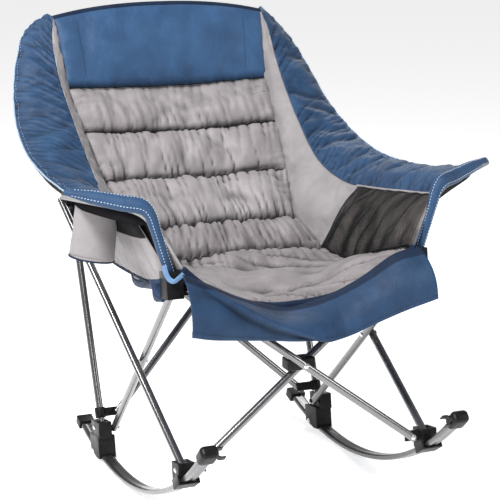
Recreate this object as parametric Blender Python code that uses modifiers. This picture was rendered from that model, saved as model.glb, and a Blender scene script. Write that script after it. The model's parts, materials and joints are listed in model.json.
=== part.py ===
"""Camp rocking chair: quad-fold tube frame on two rocker rails, with a padded sling and wings.

Metres, +Z up, the sitter faces -Y, and +X is the sitter's left. The origin is on the floor, under
the middle of the bounding box. Rails and soft parts are placed in a "floor frame", whose origin is
where the rails touch the floor. The folding frame is laid out level in a "chair frame", whose
origin is midway between the rear side pins, and one empty leans it back onto the rails.
"""
import math

import bmesh
import bpy
from mathutils import Matrix, Vector

# ---- driving dimensions -------------------------------------------------------------------
CONTACT_Y = 0.0378                # where the rails touch the floor, from the box's middle
LEAN_BACK = math.radians(8.8)     # how far the whole chair leans back at rest
REAR_PIN = Vector((0, 0.115, 0.074))  # the rear side pins' middle, in the floor frame
BASE = 0.55                       # side pin to side pin, both across and front to rear
HALF = BASE / 2
SEAT_RISE = 0.36                  # front foot pin to seat joint pin
TUBE_R = 0.0085                   # all round frame tubes
TUBE_END = 0.008                  # tube beyond its end pin
GAP = 0.0003                      # between pieces that touch
PIN_R, PIN_HOLE_R = 0.003, 0.0034
PIN_HEAD_R, PIN_HEAD_H = 0.0062, 0.0026

POST_LEAN = math.radians(13.9)    # rear posts, from the chair frame's upright
POST_LENGTH = 0.985
RING_HIGH, RING_LOW = 0.535, 0.500    # slide rings, measured along the post from its pin
REAR_CROSS_LOW = 0.032            # lower rear cross pins, the same way
CROSS_INSET = 0.042               # rear cross pins, inboard of the posts
FRONT_INSET = 0.037              # front cross pins, inboard of the feet
CROSS_SIDE = 0.0098               # each crossing tube, off the middle plane of its cross
SIDE_IN, SIDE_OUT = 0.022, 0.0225 # side tubes' skew: rear foot end inboard, ring end outboard
BRACE_Y = -0.026                  # seat brace's foot pin, ahead of the post's pin
LAP, LOOSE_LAP = 0.0006, 0.0015   # from a cross tube's side to the ear that it is pinned to

RAIL_R = 0.8157                   # rocker rail's centre line
RAIL_WIDTH, RAIL_THICK = 0.030, 0.013
RAIL_FRONT, RAIL_REAR = math.radians(43.6), math.radians(17.6)
RAIL_PIVOT = math.radians(8.75)   # rail pivot's place on the arc, under the rear foot
RAIL_SADDLE = math.radians(32.9)  # front foot's place on the arc
RAIL_SWING = math.radians(45)     # the rail's drop, which the rear foot leaves room for

ARM_ELBOW = Vector((0.320, -0.372, 0.678))
ARM_TIP = Vector((0.478, -0.304, 0.712))

SEAT_PROFILE = [(-0.334, 0.449), (-0.20, 0.452), (-0.05, 0.474), (0.094, 0.520),
                (0.242, 0.612), (0.322, 0.705), (0.425, 0.813), (0.468, 0.995)]
PAD_HALF = 0.235                  # sling pads, half width
PAD_THICK = 0.022
CLOTH = 0.006                     # single skins: wings, panels, flap

COLLECTION = "camp_rocking_chair"

FORK_HALF = 0.0175                # front foot and seat joint blocks, half width
SLOT_HALF = TUBE_R + 0.0010       # slots that tube ends turn in
SLEEVE_R = 0.0122                 # sleeves round the posts

# ---- scene set-up -------------------------------------------------------------------------
for old in list(bpy.data.objects):
    bpy.data.objects.remove(old, do_unlink=True)

parts = bpy.data.collections.new(COLLECTION)
cutters = bpy.data.collections.new("cutters")
for group in (parts, cutters):
    bpy.context.scene.collection.children.link(group)

floor_frame = bpy.data.objects.new("floor_frame", None)
floor_frame.location = (0, CONTACT_Y, 0)
chair_frame = bpy.data.objects.new("chair_frame", None)
chair_frame.location = REAR_PIN
chair_frame.rotation_euler = (-LEAN_BACK, 0, 0)
chair_frame.parent = floor_frame
for empty in (floor_frame, chair_frame):
    parts.objects.link(empty)


def material(name, colour, roughness, metallic=0.0):
    made = bpy.data.materials.new(name)
    made.use_nodes = True
    shader = made.node_tree.nodes["Principled BSDF"]
    shader.inputs["Base Color"].default_value = (*colour, 1)
    shader.inputs["Roughness"].default_value = roughness
    shader.inputs["Metallic"].default_value = metallic
    return made


GUNMETAL = material("gunmetal_paint", (0.12, 0.12, 0.125), 0.32, 0.8)
RAIL_GREY = material("rail_grey", (0.30, 0.30, 0.31), 0.4, 0.7)
STEEL = material("rivet_steel", (0.70, 0.70, 0.70), 0.3, 1.0)
BLACK = material("black_plastic", (0.018, 0.018, 0.02), 0.5)
BLUE = material("blue_fabric", (0.03, 0.09, 0.19), 0.7)
TAUPE = material("taupe_fabric", (0.22, 0.20, 0.20), 0.8)
MESH = material("black_mesh", (0.02, 0.02, 0.022), 0.8)


# ---- helpers ------------------------------------------------------------------------------
def add(name, mesh, stuff, parent=chair_frame, place=(0, 0, 0), turn=None):
    obj = bpy.data.objects.new(name, mesh)
    mesh.materials.append(stuff)
    parts.objects.link(obj)
    obj.parent = parent
    obj.location = place
    if turn is not None:
        obj.rotation_mode = "QUATERNION"
        obj.rotation_quaternion = turn
    return obj


def mesh_from(name, bm):
    bmesh.ops.recalc_face_normals(bm, faces=bm.faces)
    mesh = bpy.data.meshes.new(name)
    bm.to_mesh(mesh)
    bm.free()
    return mesh


def along(direction):
    return Vector(direction).to_track_quat("Z", "Y")


def box_mesh(name, low, high):
    bm = bmesh.new()
    bmesh.ops.create_cube(bm, size=1)
    low, high = Vector(low), Vector(high)
    for vert in bm.verts:
        vert.co = Vector(((vert.co[i] + 0.5) * (high[i] - low[i]) + low[i] for i in range(3)))
    return mesh_from(name, bm)


def cylinder_mesh(name, radius, start, end, sides=14):
    bm = bmesh.new()
    bmesh.ops.create_cone(bm, cap_ends=True, segments=sides, radius1=radius, radius2=radius,
                          depth=end - start)
    bmesh.ops.translate(bm, verts=bm.verts, vec=(0, 0, (start + end) / 2))
    mesh = mesh_from(name, bm)
    mesh.shade_smooth()
    mesh.set_sharp_from_angle(angle=math.radians(40))
    return mesh


def combine(obj, name, mesh, operation, place=(0, 0, 0), turn=None):
    """A boolean with a hidden cutter that is placed in the chair frame."""
    cutter = bpy.data.objects.new(f"cut_{obj.name}_{name}", mesh)
    cutters.objects.link(cutter)
    cutter.parent = obj.parent
    cutter.location = place
    if turn is not None:
        cutter.rotation_mode = "QUATERNION"
        cutter.rotation_quaternion = turn
    cutter.hide_render = True
    cutter.display_type = "WIRE"
    step = obj.modifiers.new(name, "BOOLEAN")
    step.object = cutter
    step.operation = operation
    return cutter


def drill(obj, name, place, axis, length, radius=PIN_HOLE_R):
    hole = cylinder_mesh(name, radius, -length / 2, length / 2, 10)
    combine(obj, name, hole, "DIFFERENCE", place, along(axis))


def tube(name, start, end, start_pin=True):
    """A straight round tube, with its origin on the pin at start."""
    span = end - start
    mesh = cylinder_mesh(name, TUBE_R, -TUBE_END, span.length + TUBE_END)
    return add(name, mesh, GUNMETAL, place=start, turn=along(span))


def rivet(name, place, axis, low, high, heads=(True, True)):
    """A pin with domed heads on the faces low and high, along axis, that it clamps. Where the fold
    opens a linkage the pin stays in its tube, and it has no head on the side of the lap."""
    top, bottom = high + GAP + PIN_HEAD_H, low - GAP - PIN_HEAD_H
    dome, step = PIN_HEAD_R * 0.6, PIN_HEAD_H * 0.2
    upper = [(0, top), (dome, top - step), (PIN_HEAD_R, high + GAP), (PIN_R, high + GAP)]
    lower = [(PIN_R, low - GAP), (PIN_HEAD_R, low - GAP), (dome, bottom + step), (0, bottom)]
    if not heads[1]:
        upper = [(0, high), (PIN_R, high)]
    if not heads[0]:
        lower = [(PIN_R, low), (0, low)]
    bm = bmesh.new()
    verts = [bm.verts.new((r, 0, z)) for r, z in upper + lower]
    for a, b in zip(verts, verts[1:]):
        bm.edges.new((a, b))
    mesh = bpy.data.meshes.new(name)
    bm.to_mesh(mesh)
    bm.free()
    obj = add(name, mesh, STEEL, place=place, turn=along(axis))
    turned = obj.modifiers.new("turned", "SCREW")
    turned.axis = "Z"
    turned.angle = math.tau
    turned.steps = turned.render_steps = 10
    turned.use_merge_vertices = True
    turned.merge_threshold = 0.0001
    turned.use_smooth_shade = True
    return obj


def stud_mesh(name, root, tip):
    """A moulded pin along +Z with a head just past tip."""
    neck, top = tip + GAP, tip + GAP + PIN_HEAD_H
    profile = [(0, root), (PIN_R, root), (PIN_R, neck), (PIN_HEAD_R, neck), (PIN_HEAD_R * 0.6, top), (0, top)]
    bm = bmesh.new()
    verts = [bm.verts.new((r, 0, z)) for r, z in profile]
    edges = [bm.edges.new(pair) for pair in zip(verts, verts[1:])]
    bmesh.ops.spin(bm, geom=verts + edges, cent=(0, 0, 0), axis=(0, 0, 1), angle=math.tau, steps=10)
    bmesh.ops.remove_doubles(bm, verts=bm.verts, dist=0.00001)
    return mesh_from(name, bm)


def swept_band(name, half_width, inner, outer, first, last, rounded, steps):
    """A bar along the rail's arc, between the angles first and last; its origin is the arc's centre."""
    middle, half = (inner + outer) / 2, (outer - inner) / 2
    if rounded:
        flat = half_width - half
        ring = [(side * flat + half * math.cos(t), middle + half * math.sin(t))
                for side, base in ((1, -math.pi / 2), (-1, math.pi / 2))
                for t in [base + math.pi * k / 4 for k in range(5)]]
    else:
        ring = [(-half_width, inner), (half_width, inner), (half_width, outer), (-half_width, outer)]
    bm = bmesh.new()
    verts = [bm.verts.new((x, r * math.sin(first), -r * math.cos(first))) for x, r in ring]
    edges = [bm.edges.new((verts[i - 1], verts[i])) for i in range(len(verts))]
    bmesh.ops.spin(bm, geom=verts + edges, cent=(0, 0, 0), axis=(1, 0, 0), angle=last - first,
                   steps=steps, use_duplicate=False)
    bmesh.ops.holes_fill(bm, edges=[e for e in bm.edges if e.is_boundary], sides=0)
    return mesh_from(name, bm)


def to_frame(point):
    """A floor-frame point in the chair frame."""
    return Matrix.Rotation(LEAN_BACK, 3, "X") @ (Vector(point) - REAR_PIN)


def to_floor(point):
    return Matrix.Rotation(-LEAN_BACK, 3, "X") @ Vector(point) + REAR_PIN


# ---- key points, in the chair frame -------------------------------------------------------
ARC_CENTRE = Vector((0, 0, RAIL_R + RAIL_THICK / 2))     # floor frame
UPRIGHT = Vector((0, 0, 1))
DEPTH = Vector((0, 1, 0))
POST_DIR = Vector((0, math.sin(POST_LEAN), math.cos(POST_LEAN)))
POST_NORMAL = Vector((0, math.cos(POST_LEAN), -math.sin(POST_LEAN)))   # towards the rear
POST_TURN = Matrix.Rotation(-POST_LEAN, 3, "X").to_quaternion()


def at_side(side, y=0.0, z=0.0, inset=0.0):
    return Vector((side * (HALF - inset), y, z))


def on_arc(angle, radius=RAIL_R):
    """Floor-frame point of the rail's middle plane at an angle behind the lowest point."""
    return ARC_CENTRE + Vector((0, radius * math.sin(angle), -radius * math.cos(angle)))


FRONT_Y = -BASE
PIVOT = to_frame(on_arc(RAIL_PIVOT))
SIDES = (("left", 1), ("right", -1))       # the sitter's left is +X

# ---- feet, joints and rings ---------------------------------------------------------------
def cut_arc(obj, label, side, half_width, radius, first, last):
    """Clears everything outside a radius about the rail's centre out of a block."""
    band = swept_band(label, half_width, radius, RAIL_R + 0.06, first, last, False, 8)
    centre = to_frame(ARC_CENTRE)
    combine(obj, label, band, "DIFFERENCE", (side * HALF, centre.y, centre.z),
            Matrix.Rotation(LEAN_BACK, 3, "X").to_quaternion())


def ear_span(offset, gap):
    """Depth range of the plate that carries a cross tube: on the tube's side towards the crossing."""
    face, thick = TUBE_R + gap, 0.006
    return (offset + face, offset + face + thick) if offset < 0 else (offset - face - thick, offset - face)


def fork(name, side, low, high, slot_low, slot_high, rise, cross_offset, gap):
    """A block with a slot for a side tube's end, and an ear for a front cross tube."""
    origin = at_side(side, FRONT_Y, rise)
    obj = add(name, box_mesh(name, (-FORK_HALF, -0.020, low), (FORK_HALF, 0.022, high)), BLACK, place=origin)
    near, far = ear_span(cross_offset, gap)
    ear = sorted((side * -0.010, side * -(FRONT_INSET + 0.010)))
    combine(obj, "ear", box_mesh("ear", (ear[0], near, -0.011), (ear[1], far, 0.011)), "UNION", origin)
    slot = box_mesh("slot", (-SLOT_HALF, -0.0135, slot_low), (SLOT_HALF, 0.030, slot_high))
    combine(obj, "slot", slot, "DIFFERENCE", origin)
    return obj, origin


def front_foot(word, side, cross_offset):
    obj, origin = fork(f"front_foot_{word}", side, -0.030, 0.015, -0.0135, 0.030, 0, cross_offset, LOOSE_LAP)
    cut_arc(obj, "rail_path", side, 0.05, RAIL_R - RAIL_THICK / 2 - GAP, -RAIL_SADDLE - 0.09, -RAIL_SADDLE + 0.09)
    # The pin's hole is blind, because the ear stands on the inner face.
    drill(obj, "side_pin", origin + Vector((side * FORK_HALF, 0, 0)), (1, 0, 0), 2 * (2 * FORK_HALF - 0.0010))
    return obj


def rear_foot(word, side):
    """Straddles the rail, holds the post in a socket, and has a pin for the seat brace on its inner face."""
    name = f"rear_foot_{word}"
    origin = at_side(side)
    obj = add(name, box_mesh(name, (-0.020, -0.030, -0.070), (0.020, 0.034, -0.0175)), BLACK, place=origin)
    inner_face = 0.0118
    upper = sorted((side * -inner_face, side * 0.019))
    combine(obj, "upper", box_mesh("upper", (upper[0], -0.037, -0.022), (upper[1], 0.020, 0.015)), "UNION", origin)
    stud = stud_mesh("brace_pin", inner_face - 0.004, SIDE_IN + TUBE_R)
    combine(obj, "brace_pin", stud, "UNION", at_side(side, BRACE_Y), along((-side, 0, 0)))
    slot = box_mesh("slot", (-SLOT_HALF, -0.0145, -0.0135), (SLOT_HALF, 0.0150, 0.03))
    combine(obj, "slot", slot, "DIFFERENCE", origin)
    cut_arc(obj, "sole", side, 0.05, RAIL_R + 0.0058, RAIL_PIVOT - 0.1, RAIL_PIVOT + 0.1)
    channel_half = RAIL_WIDTH / 2 + 0.0006
    cut_arc(obj, "rail_path", side, channel_half, RAIL_R - RAIL_THICK / 2 - 0.0008, RAIL_PIVOT - 0.1, RAIL_PIVOT + 0.1)
    # Behind the pivot the underside opens upwards, so that the rail's tail can rise.
    tail = box_mesh("tail", (-channel_half, -0.0088, -0.03), (channel_half, 0.10, 0.10))
    lift = Matrix.Rotation(RAIL_PIVOT + LEAN_BACK + RAIL_SWING - math.pi / 2, 3, "X").to_quaternion()
    combine(obj, "tail", tail, "DIFFERENCE", Vector((side * HALF, PIVOT.y, PIVOT.z)), lift)
    drill(obj, "post_pin", origin, (1, 0, 0), 0.06)
    drill(obj, "rail_pin", Vector((side * HALF, PIVOT.y, PIVOT.z)), (1, 0, 0), 0.06)
    return obj


def seat_joint(word, side, cross_offset):
    obj, origin = fork(f"seat_joint_{word}", side, -0.015, 0.040, -0.03, 0.0125, SEAT_RISE, cross_offset, LAP)
    socket = cylinder_mesh("socket", TUBE_R + 0.0005, 0.017, 0.06)
    combine(obj, "socket", socket, "DIFFERENCE", origin)
    pin = cylinder_mesh("side_pin", PIN_R, -FORK_HALF + 0.002, FORK_HALF - 0.002, 10)
    combine(obj, "side_pin", pin, "UNION", origin, along((1, 0, 0)))
    if word == "right":
        drill(obj, "cross_pin", at_side(side, FRONT_Y, SEAT_RISE, FRONT_INSET), DEPTH, 0.05)
    return obj


def post_block(name, side, reach, height, ear_range):
    """A sleeve round a rear post; with an ear range it carries a rear cross tube inboard."""
    place = at_side(side) + POST_DIR * reach
    obj = add(name, cylinder_mesh(name, SLEEVE_R, -height / 2, height / 2, 18), BLACK, place=place, turn=POST_TURN)
    if ear_range:
        x = sorted((side * -0.010, side * -(CROSS_INSET + 0.010)))
        ear = box_mesh("ear", (x[0], ear_range[0], -0.010), (x[1], ear_range[1], 0.010))
        combine(obj, "ear", ear, "UNION", place, POST_TURN)
    return obj, place


def bore(obj, place):
    hole = cylinder_mesh("bore", TUBE_R + 0.0004, -0.1, 0.1, 18)
    combine(obj, "bore", hole, "DIFFERENCE", place, POST_TURN)


front_foot("left", 1, -CROSS_SIDE)
front_foot("right", -1, CROSS_SIDE)
seat_joint("left", 1, CROSS_SIDE)
seat_joint("right", -1, -CROSS_SIDE)
for word, side in SIDES:
    rear_foot(word, side)
    # The rear cross's fore tube stands on the right bracket, so its top is at the left ring.
    low_offset = side * CROSS_SIDE
    bracket, place = post_block(f"post_bracket_{word}", side, REAR_CROSS_LOW, 0.024, ear_span(low_offset, LAP))
    stud = stud_mesh("cross_pin", -0.004, 2 * TUBE_R + LAP)
    stud_place = place + Vector((-side * CROSS_INSET, 0, 0)) + POST_NORMAL * (low_offset - side * (TUBE_R + LAP))
    combine(bracket, "cross_pin", stud, "UNION", stud_place, along(POST_NORMAL * side))
    bore(bracket, place)
    ring, place = post_block(f"cross_ring_{word}", side, RING_LOW, 0.024, ear_span(-low_offset, LAP))
    bore(ring, place)
    ring, place = post_block(f"side_ring_{word}", side, RING_HIGH, 0.030, None)
    boss = cylinder_mesh("boss", 0.0085, 0.0095, SIDE_OUT - TUBE_R - 0.001, 14)
    combine(ring, "boss", boss, "UNION", place, along((side, 0, 0)))
    bore(ring, place)


# ---- tubes --------------------------------------------------------------------------------
def crossing(a, b, c, d):
    """Where two lines in the Y-Z plane cross."""
    ab, cd = b - a, d - c
    t = ((c.y - a.y) * cd.z - (c.z - a.z) * cd.y) / (ab.y * cd.z - ab.z * cd.y)
    return a + ab * t


for word, side in SIDES:
    post = add(f"back_post_{word}", cylinder_mesh("post", TUBE_R, -TUBE_END, POST_LENGTH), GUNMETAL,
               place=at_side(side), turn=POST_TURN)
    drill(post, "post_pin", at_side(side), (1, 0, 0), 0.05)

    foot_end, seat_end = at_side(side, BRACE_Y, 0, SIDE_IN), at_side(side, FRONT_Y, SEAT_RISE)
    brace = tube(f"seat_brace_{word}", foot_end, seat_end)
    front_end = at_side(side, FRONT_Y)
    ring_end = at_side(side, 0, 0, -SIDE_OUT) + POST_DIR * RING_HIGH
    strut = tube(f"side_strut_{word}", front_end, ring_end)
    drill(brace, "foot_pin", foot_end, (1, 0, 0), 0.05)
    drill(brace, "seat_pin", seat_end, (1, 0, 0), 0.05)
    drill(strut, "foot_pin", front_end, (1, 0, 0), 0.05)
    drill(strut, "ring_pin", ring_end, (1, 0, 0), 0.05)
    cross = crossing(foot_end, seat_end, front_end, ring_end)
    brace_off = -SIDE_IN * (cross.y - FRONT_Y) / (BRACE_Y - FRONT_Y)
    strut_off = SIDE_OUT * (cross.y - FRONT_Y) / (ring_end.y - FRONT_Y)
    middle = Vector((side * HALF, cross.y, cross.z))
    for piece in (brace, strut):
        drill(piece, "cross_pin", middle, (1, 0, 0), 0.09)
    outward = (side, 0, 0)
    rivet(f"side_cross_rivet_{word}", middle, outward, brace_off - TUBE_R, strut_off + TUBE_R)
    rivet(f"rear_foot_rivet_{word}", at_side(side), outward, -0.0118, 0.019)
    rivet(f"front_foot_rivet_{word}", front_end, outward, -FORK_HALF + 0.0014, FORK_HALF, (False, True))
    rivet(f"rail_rivet_{word}", Vector((side * HALF, PIVOT.y, PIVOT.z)), outward, -0.020, 0.020)
    rivet(f"side_ring_rivet_{word}", ring_end, outward, -TUBE_R, TUBE_R, (False, True))


def cross_tube(name, low, high, axis):
    piece = tube(name, low, high)
    for label, pin in (("low_pin", low), ("high_pin", high), ("middle_pin", (low + high) / 2)):
        drill(piece, label, pin, axis, 0.05)


for word, side in SIDES:      # word is the side where the tube's foot stands
    depth = -side * CROSS_SIDE
    cross_tube(f"front_cross_{word}_foot", at_side(side, FRONT_Y + depth, 0, FRONT_INSET),
               at_side(-side, FRONT_Y + depth, SEAT_RISE, FRONT_INSET), DEPTH)
    offset = POST_NORMAL * (side * CROSS_SIDE)
    cross_tube(f"rear_cross_{word}_foot", at_side(side, 0, 0, CROSS_INSET) + POST_DIR * REAR_CROSS_LOW + offset,
               at_side(-side, 0, 0, CROSS_INSET) + POST_DIR * RING_LOW + offset, POST_NORMAL)

CROSS_FACE = CROSS_SIDE + TUBE_R
rivet("front_cross_rivet", Vector((0, FRONT_Y, SEAT_RISE / 2)), DEPTH, -CROSS_FACE, CROSS_FACE)
rivet("rear_cross_rivet", POST_DIR * (REAR_CROSS_LOW + RING_LOW) / 2, POST_NORMAL, -CROSS_FACE, CROSS_FACE)


def lap_rivet(name, place, axis, tube_side):
    """The pin at a cross tube's open end: one head, on the face away from the crossing."""
    centre = tube_side * CROSS_SIDE
    rivet(name, place, axis, centre - TUBE_R, centre + TUBE_R, (tube_side < 0, tube_side > 0))


for word, side in SIDES:
    lap_rivet(f"front_cross_foot_rivet_{word}", at_side(side, FRONT_Y, 0, FRONT_INSET), DEPTH, -side)
    lap_rivet(f"rear_cross_ring_rivet_{word}", at_side(side, 0, 0, CROSS_INSET) + POST_DIR * RING_LOW,
              POST_NORMAL, -side)
lap_rivet("front_cross_seat_rivet_left", at_side(1, FRONT_Y, SEAT_RISE, FRONT_INSET), DEPTH, 1)
rivet("front_cross_seat_rivet_right", at_side(-1, FRONT_Y, SEAT_RISE, FRONT_INSET), DEPTH,
      -CROSS_FACE, ear_span(-CROSS_SIDE, LAP)[1])


# ---- rocker rails, with the end clip, the tail cap and the saddle under the front foot -----
def rail(word, side):
    centre = Vector((side * HALF, ARC_CENTRE.y, ARC_CENTRE.z))
    inner, outer = RAIL_R - RAIL_THICK / 2, RAIL_R + RAIL_THICK / 2
    name = f"rocker_rail_{word}"
    bar = add(name, swept_band(name, RAIL_WIDTH / 2, inner, outer, -RAIL_FRONT, RAIL_REAR, True, 26), RAIL_GREY,
              parent=floor_frame, place=centre)
    pin = Vector((side * HALF, *on_arc(RAIL_PIVOT).yz))
    hole = cylinder_mesh("rail_pin", PIN_HOLE_R, -0.03, 0.03, 10)
    combine(bar, "rail_pin", hole, "DIFFERENCE", pin, along((1, 0, 0)))

    def sleeve(label, angle, size, stuff=BLACK):
        """A cap on the rail's end: size is width, length along the rail, thickness."""
        turn = Matrix.Rotation(angle, 3, "X").to_quaternion()
        spot = Vector((side * HALF, *on_arc(angle).yz))
        half = Vector(size) / 2
        cap = add(f"{label}_{word}", box_mesh(label, -half, half), stuff, parent=floor_frame, place=spot, turn=turn)
        room = swept_band("room", RAIL_WIDTH / 2 + GAP, inner - GAP, outer + GAP, -RAIL_FRONT - 0.0006,
                          RAIL_REAR + 0.0006, True, 26)
        return cap, room, turn, spot

    clip, room, turn, spot = sleeve("rail_clip", -RAIL_FRONT - 0.0015, (0.042, 0.046, 0.030))
    # Two prongs point inboard, with inturned tips, and leave a slot that a leg tube snaps into.
    for label, up in (("upper_prong", 1), ("lower_prong", -1)):
        x, tip = sorted((side * -0.018, side * -0.058)), sorted((side * -0.052, side * -0.058))
        z, tip_z = sorted((up * 0.0105, up * 0.0145)), sorted((up * 0.0086, up * 0.0125))
        combine(clip, label, box_mesh(label, (x[0], -0.014, z[0]), (x[1], 0.014, z[1])), "UNION", spot, turn)
        hook = box_mesh(label + "_tip", (tip[0], -0.013, tip_z[0]), (tip[1], 0.013, tip_z[1]))
        combine(clip, label + "_tip", hook, "UNION", spot, turn)
    combine(clip, "room", room, "DIFFERENCE", centre)

    cap, room, _, _ = sleeve("rail_tail_cap", RAIL_REAR, (0.038, 0.030, 0.021))
    combine(cap, "room", room, "DIFFERENCE", centre)

    saddle, room, turn, spot = sleeve("front_saddle", -RAIL_SADDLE, (0.046, 0.040, 0.0215))
    combine(saddle, "open_top", box_mesh("open", (-0.0182, -0.1, 0.0), (0.0182, 0.1, 0.1)), "DIFFERENCE", spot, turn)
    room = swept_band("room", 0.0182, inner - 0.03, outer + GAP, -RAIL_SADDLE - 0.2, -RAIL_SADDLE + 0.2, False, 10)
    combine(saddle, "room", room, "DIFFERENCE", centre)
    return bar


for word, side in SIDES:
    rail(word, side)


# ---- arm posts ----------------------------------------------------------------------------
def arm_post(word, side):
    """A bent tube: up from the seat joint, then out and back to the wing's front tip."""
    foot = to_floor(at_side(side, FRONT_Y, SEAT_RISE + 0.018))
    top_of_joint = to_floor(at_side(side, FRONT_Y, SEAT_RISE + 0.046))
    elbow = Vector((side * ARM_ELBOW.x, ARM_ELBOW.y, ARM_ELBOW.z))
    tip = Vector((side * ARM_TIP.x, ARM_TIP.y, ARM_TIP.z))
    upright, horn = (elbow - top_of_joint).normalized(), (tip - elbow).normalized()
    radius = 0.045
    points = [foot, top_of_joint]
    for k in range(7):
        t = k / 6
        a, c = elbow - upright * radius, elbow + horn * radius
        points.append(a * (1 - t) ** 2 + elbow * 2 * t * (1 - t) + c * t * t)
    points.append(tip)
    curve = bpy.data.curves.new(f"arm_post_{word}", "CURVE")
    curve.dimensions = "3D"
    curve.bevel_depth = TUBE_R - 0.0005
    curve.bevel_resolution = 2
    curve.use_fill_caps = True
    line = curve.splines.new("POLY")
    line.points.add(len(points) - 1)
    for spot, point in zip(line.points, points):
        spot.co = (*point, 1)
    obj = bpy.data.objects.new(f"arm_post_{word}", curve)
    curve.materials.append(GUNMETAL)
    obj.parent = floor_frame
    parts.objects.link(obj)


for word, side in SIDES:
    arm_post(word, side)


# ---- soft parts ---------------------------------------------------------------------------
def skin(name, rows, thickness, stuff, offset=0.0):
    """A closed skin through rows of points, all rows of one length."""
    bm = bmesh.new()
    grid = [[bm.verts.new(p) for p in row] for row in rows]
    for lower, upper in zip(grid, grid[1:]):
        for k in range(len(lower) - 1):
            bm.faces.new((lower[k], lower[k + 1], upper[k + 1], upper[k]))
    mesh = mesh_from(name, bm)
    obj = add(name, mesh, stuff, parent=floor_frame)
    solid = obj.modifiers.new("thickness", "SOLIDIFY")
    solid.thickness = thickness
    solid.offset = offset
    return obj


def sling_rows(first, last, half=PAD_HALF, sag=0.018, shift=0.0):
    """Rows of points across the sling, between two places (0 to 7) on its side profile."""
    rows = []
    count = max(2, round((last - first) * 2) + 1)
    for k in range(count):
        t = first + (last - first) * k / (count - 1)
        i = min(int(t), len(SEAT_PROFILE) - 2)
        (y0, z0), (y1, z1) = SEAT_PROFILE[i], SEAT_PROFILE[i + 1]
        y, z = y0 + (y1 - y0) * (t - i), z0 + (z1 - z0) * (t - i)
        slope = math.atan2(z1 - z0, y1 - y0)
        row = []
        for j in range(5):
            u = j / 2 - 1
            lift = sag * u * u + shift
            row.append((u * half, y - lift * math.sin(slope), z + lift * math.cos(slope)))
        rows.append(row)
    return rows


skin("seat_pad_front", sling_rows(0.0, 2.45), PAD_THICK, TAUPE)
skin("seat_pad_rear", sling_rows(2.55, 4.9), PAD_THICK, TAUPE)
skin("back_pad", sling_rows(5.1, 7.0), PAD_THICK, TAUPE)
skin("headrest_pad", sling_rows(6.15, 6.95, half=0.21, shift=0.0198), 0.016, BLUE)


def post_line(z):
    """How far back a post's axis is at a height, in the floor frame."""
    return REAR_PIN.y + (z - REAR_PIN.z) * math.tan(LEAN_BACK + POST_LEAN)


def wing(word, side):
    """The blue band from the post's top, out and forward to the middle of the arm. It bends round
    the front of the post, between the places inner and outer."""
    outer = [(0.312, 0.512, 0.965), (0.348, 0.472, 0.917), (0.386, 0.403, 0.826), (0.402, 0.325, 0.755),
             (0.409, 0.209, 0.704), (0.406, 0.084, 0.690)]
    inner = [(0.262, 0.440, 0.955), (0.262, 0.400, 0.880), (0.262, 0.360, 0.790), (0.262, 0.300, 0.690),
             (0.262, 0.190, 0.600), (0.262, 0.084, 0.560)]
    rows = [[Vector((side * p[0], p[1], p[2])) for p in line] for line in (inner, outer)]
    bend = []
    for a, b in zip(*rows):
        z = a.z * 0.6 + b.z * 0.4
        bend.append(Vector((side * 0.297, min(a.y * 0.6 + b.y * 0.4, post_line(z) - 0.022), z)))
    skin(f"wing_{word}", [rows[0], bend, rows[1]], 0.010, BLUE)


def arm_panel(word, side, stuff):
    """The side of the bucket, up to the arm, and the arm's flat top, forward to the arm post."""
    stations = [(0.074, 0.545, 0.409), (-0.05, 0.512, 0.414), (-0.18, 0.500, 0.420), (-0.280, 0.502, 0.418)]
    low = [Vector((side * 0.256, y, z)) for y, z, _ in stations]
    bend = [Vector((side * 0.292, y, 0.620)) for y, _, _ in stations]
    crest = [Vector((side * 0.314, y, 0.684)) for y, _, _ in stations]
    edge = [Vector((side * x, y, 0.692)) for y, _, x in stations]
    skin(f"arm_panel_{word}", [low, bend, crest, edge], CLOTH, stuff)


wing("left", 1)
wing("right", -1)
arm_panel("left", 1, MESH)
arm_panel("right", -1, TAUPE)

# The hanging flap below the seat's front edge.
flap_top = [(-0.225, -0.408, 0.520), (-0.12, -0.408, 0.462), (0, -0.404, 0.444), (0.12, -0.408, 0.462),
            (0.225, -0.408, 0.520)]
flap_rows = [[Vector(p) + Vector((p[0] * 0.1, -0.010, -0.036)) * k for p in flap_top] for k in (0.0, 1.0, 2.2)]
skin("front_flap", flap_rows, CLOTH, BLUE)

# The cup holder hangs outside the right arm: an open-topped pouch.
CUP_PLACE = Vector((-0.352, -0.135, 0.588))
CUP_HEIGHT, CUP_WALL = 0.105, 0.004


def cup_mesh(name, inset, lift):
    bm = bmesh.new()
    bmesh.ops.create_cone(bm, cap_ends=True, segments=16, radius1=0.0455 - inset, radius2=0.0455 - inset,
                          depth=CUP_HEIGHT)
    bmesh.ops.translate(bm, verts=bm.verts, vec=(0, 0, lift))
    return mesh_from(name, bm)


cup_holder = add("cup_holder", cup_mesh("cup_holder", 0, 0), TAUPE, parent=floor_frame, place=CUP_PLACE)
combine(cup_holder, "hollow", cup_mesh("hollow", CUP_WALL, CUP_WALL), "DIFFERENCE", CUP_PLACE)
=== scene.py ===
"""Looks of the camp rocking chair: quilted sling, padded wings, arm sleeves, mesh and frame finishes.

Metres, the sitter faces -Y, and +X is the sitter's left. Soft pieces are laid out in the "floor
frame" of part.py, whose origin is where the rails touch the floor; at() moves a point into place.
"""
import json
import math

import bmesh
import bpy
import numpy as np
from mathutils import Matrix, Vector, noise


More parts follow.
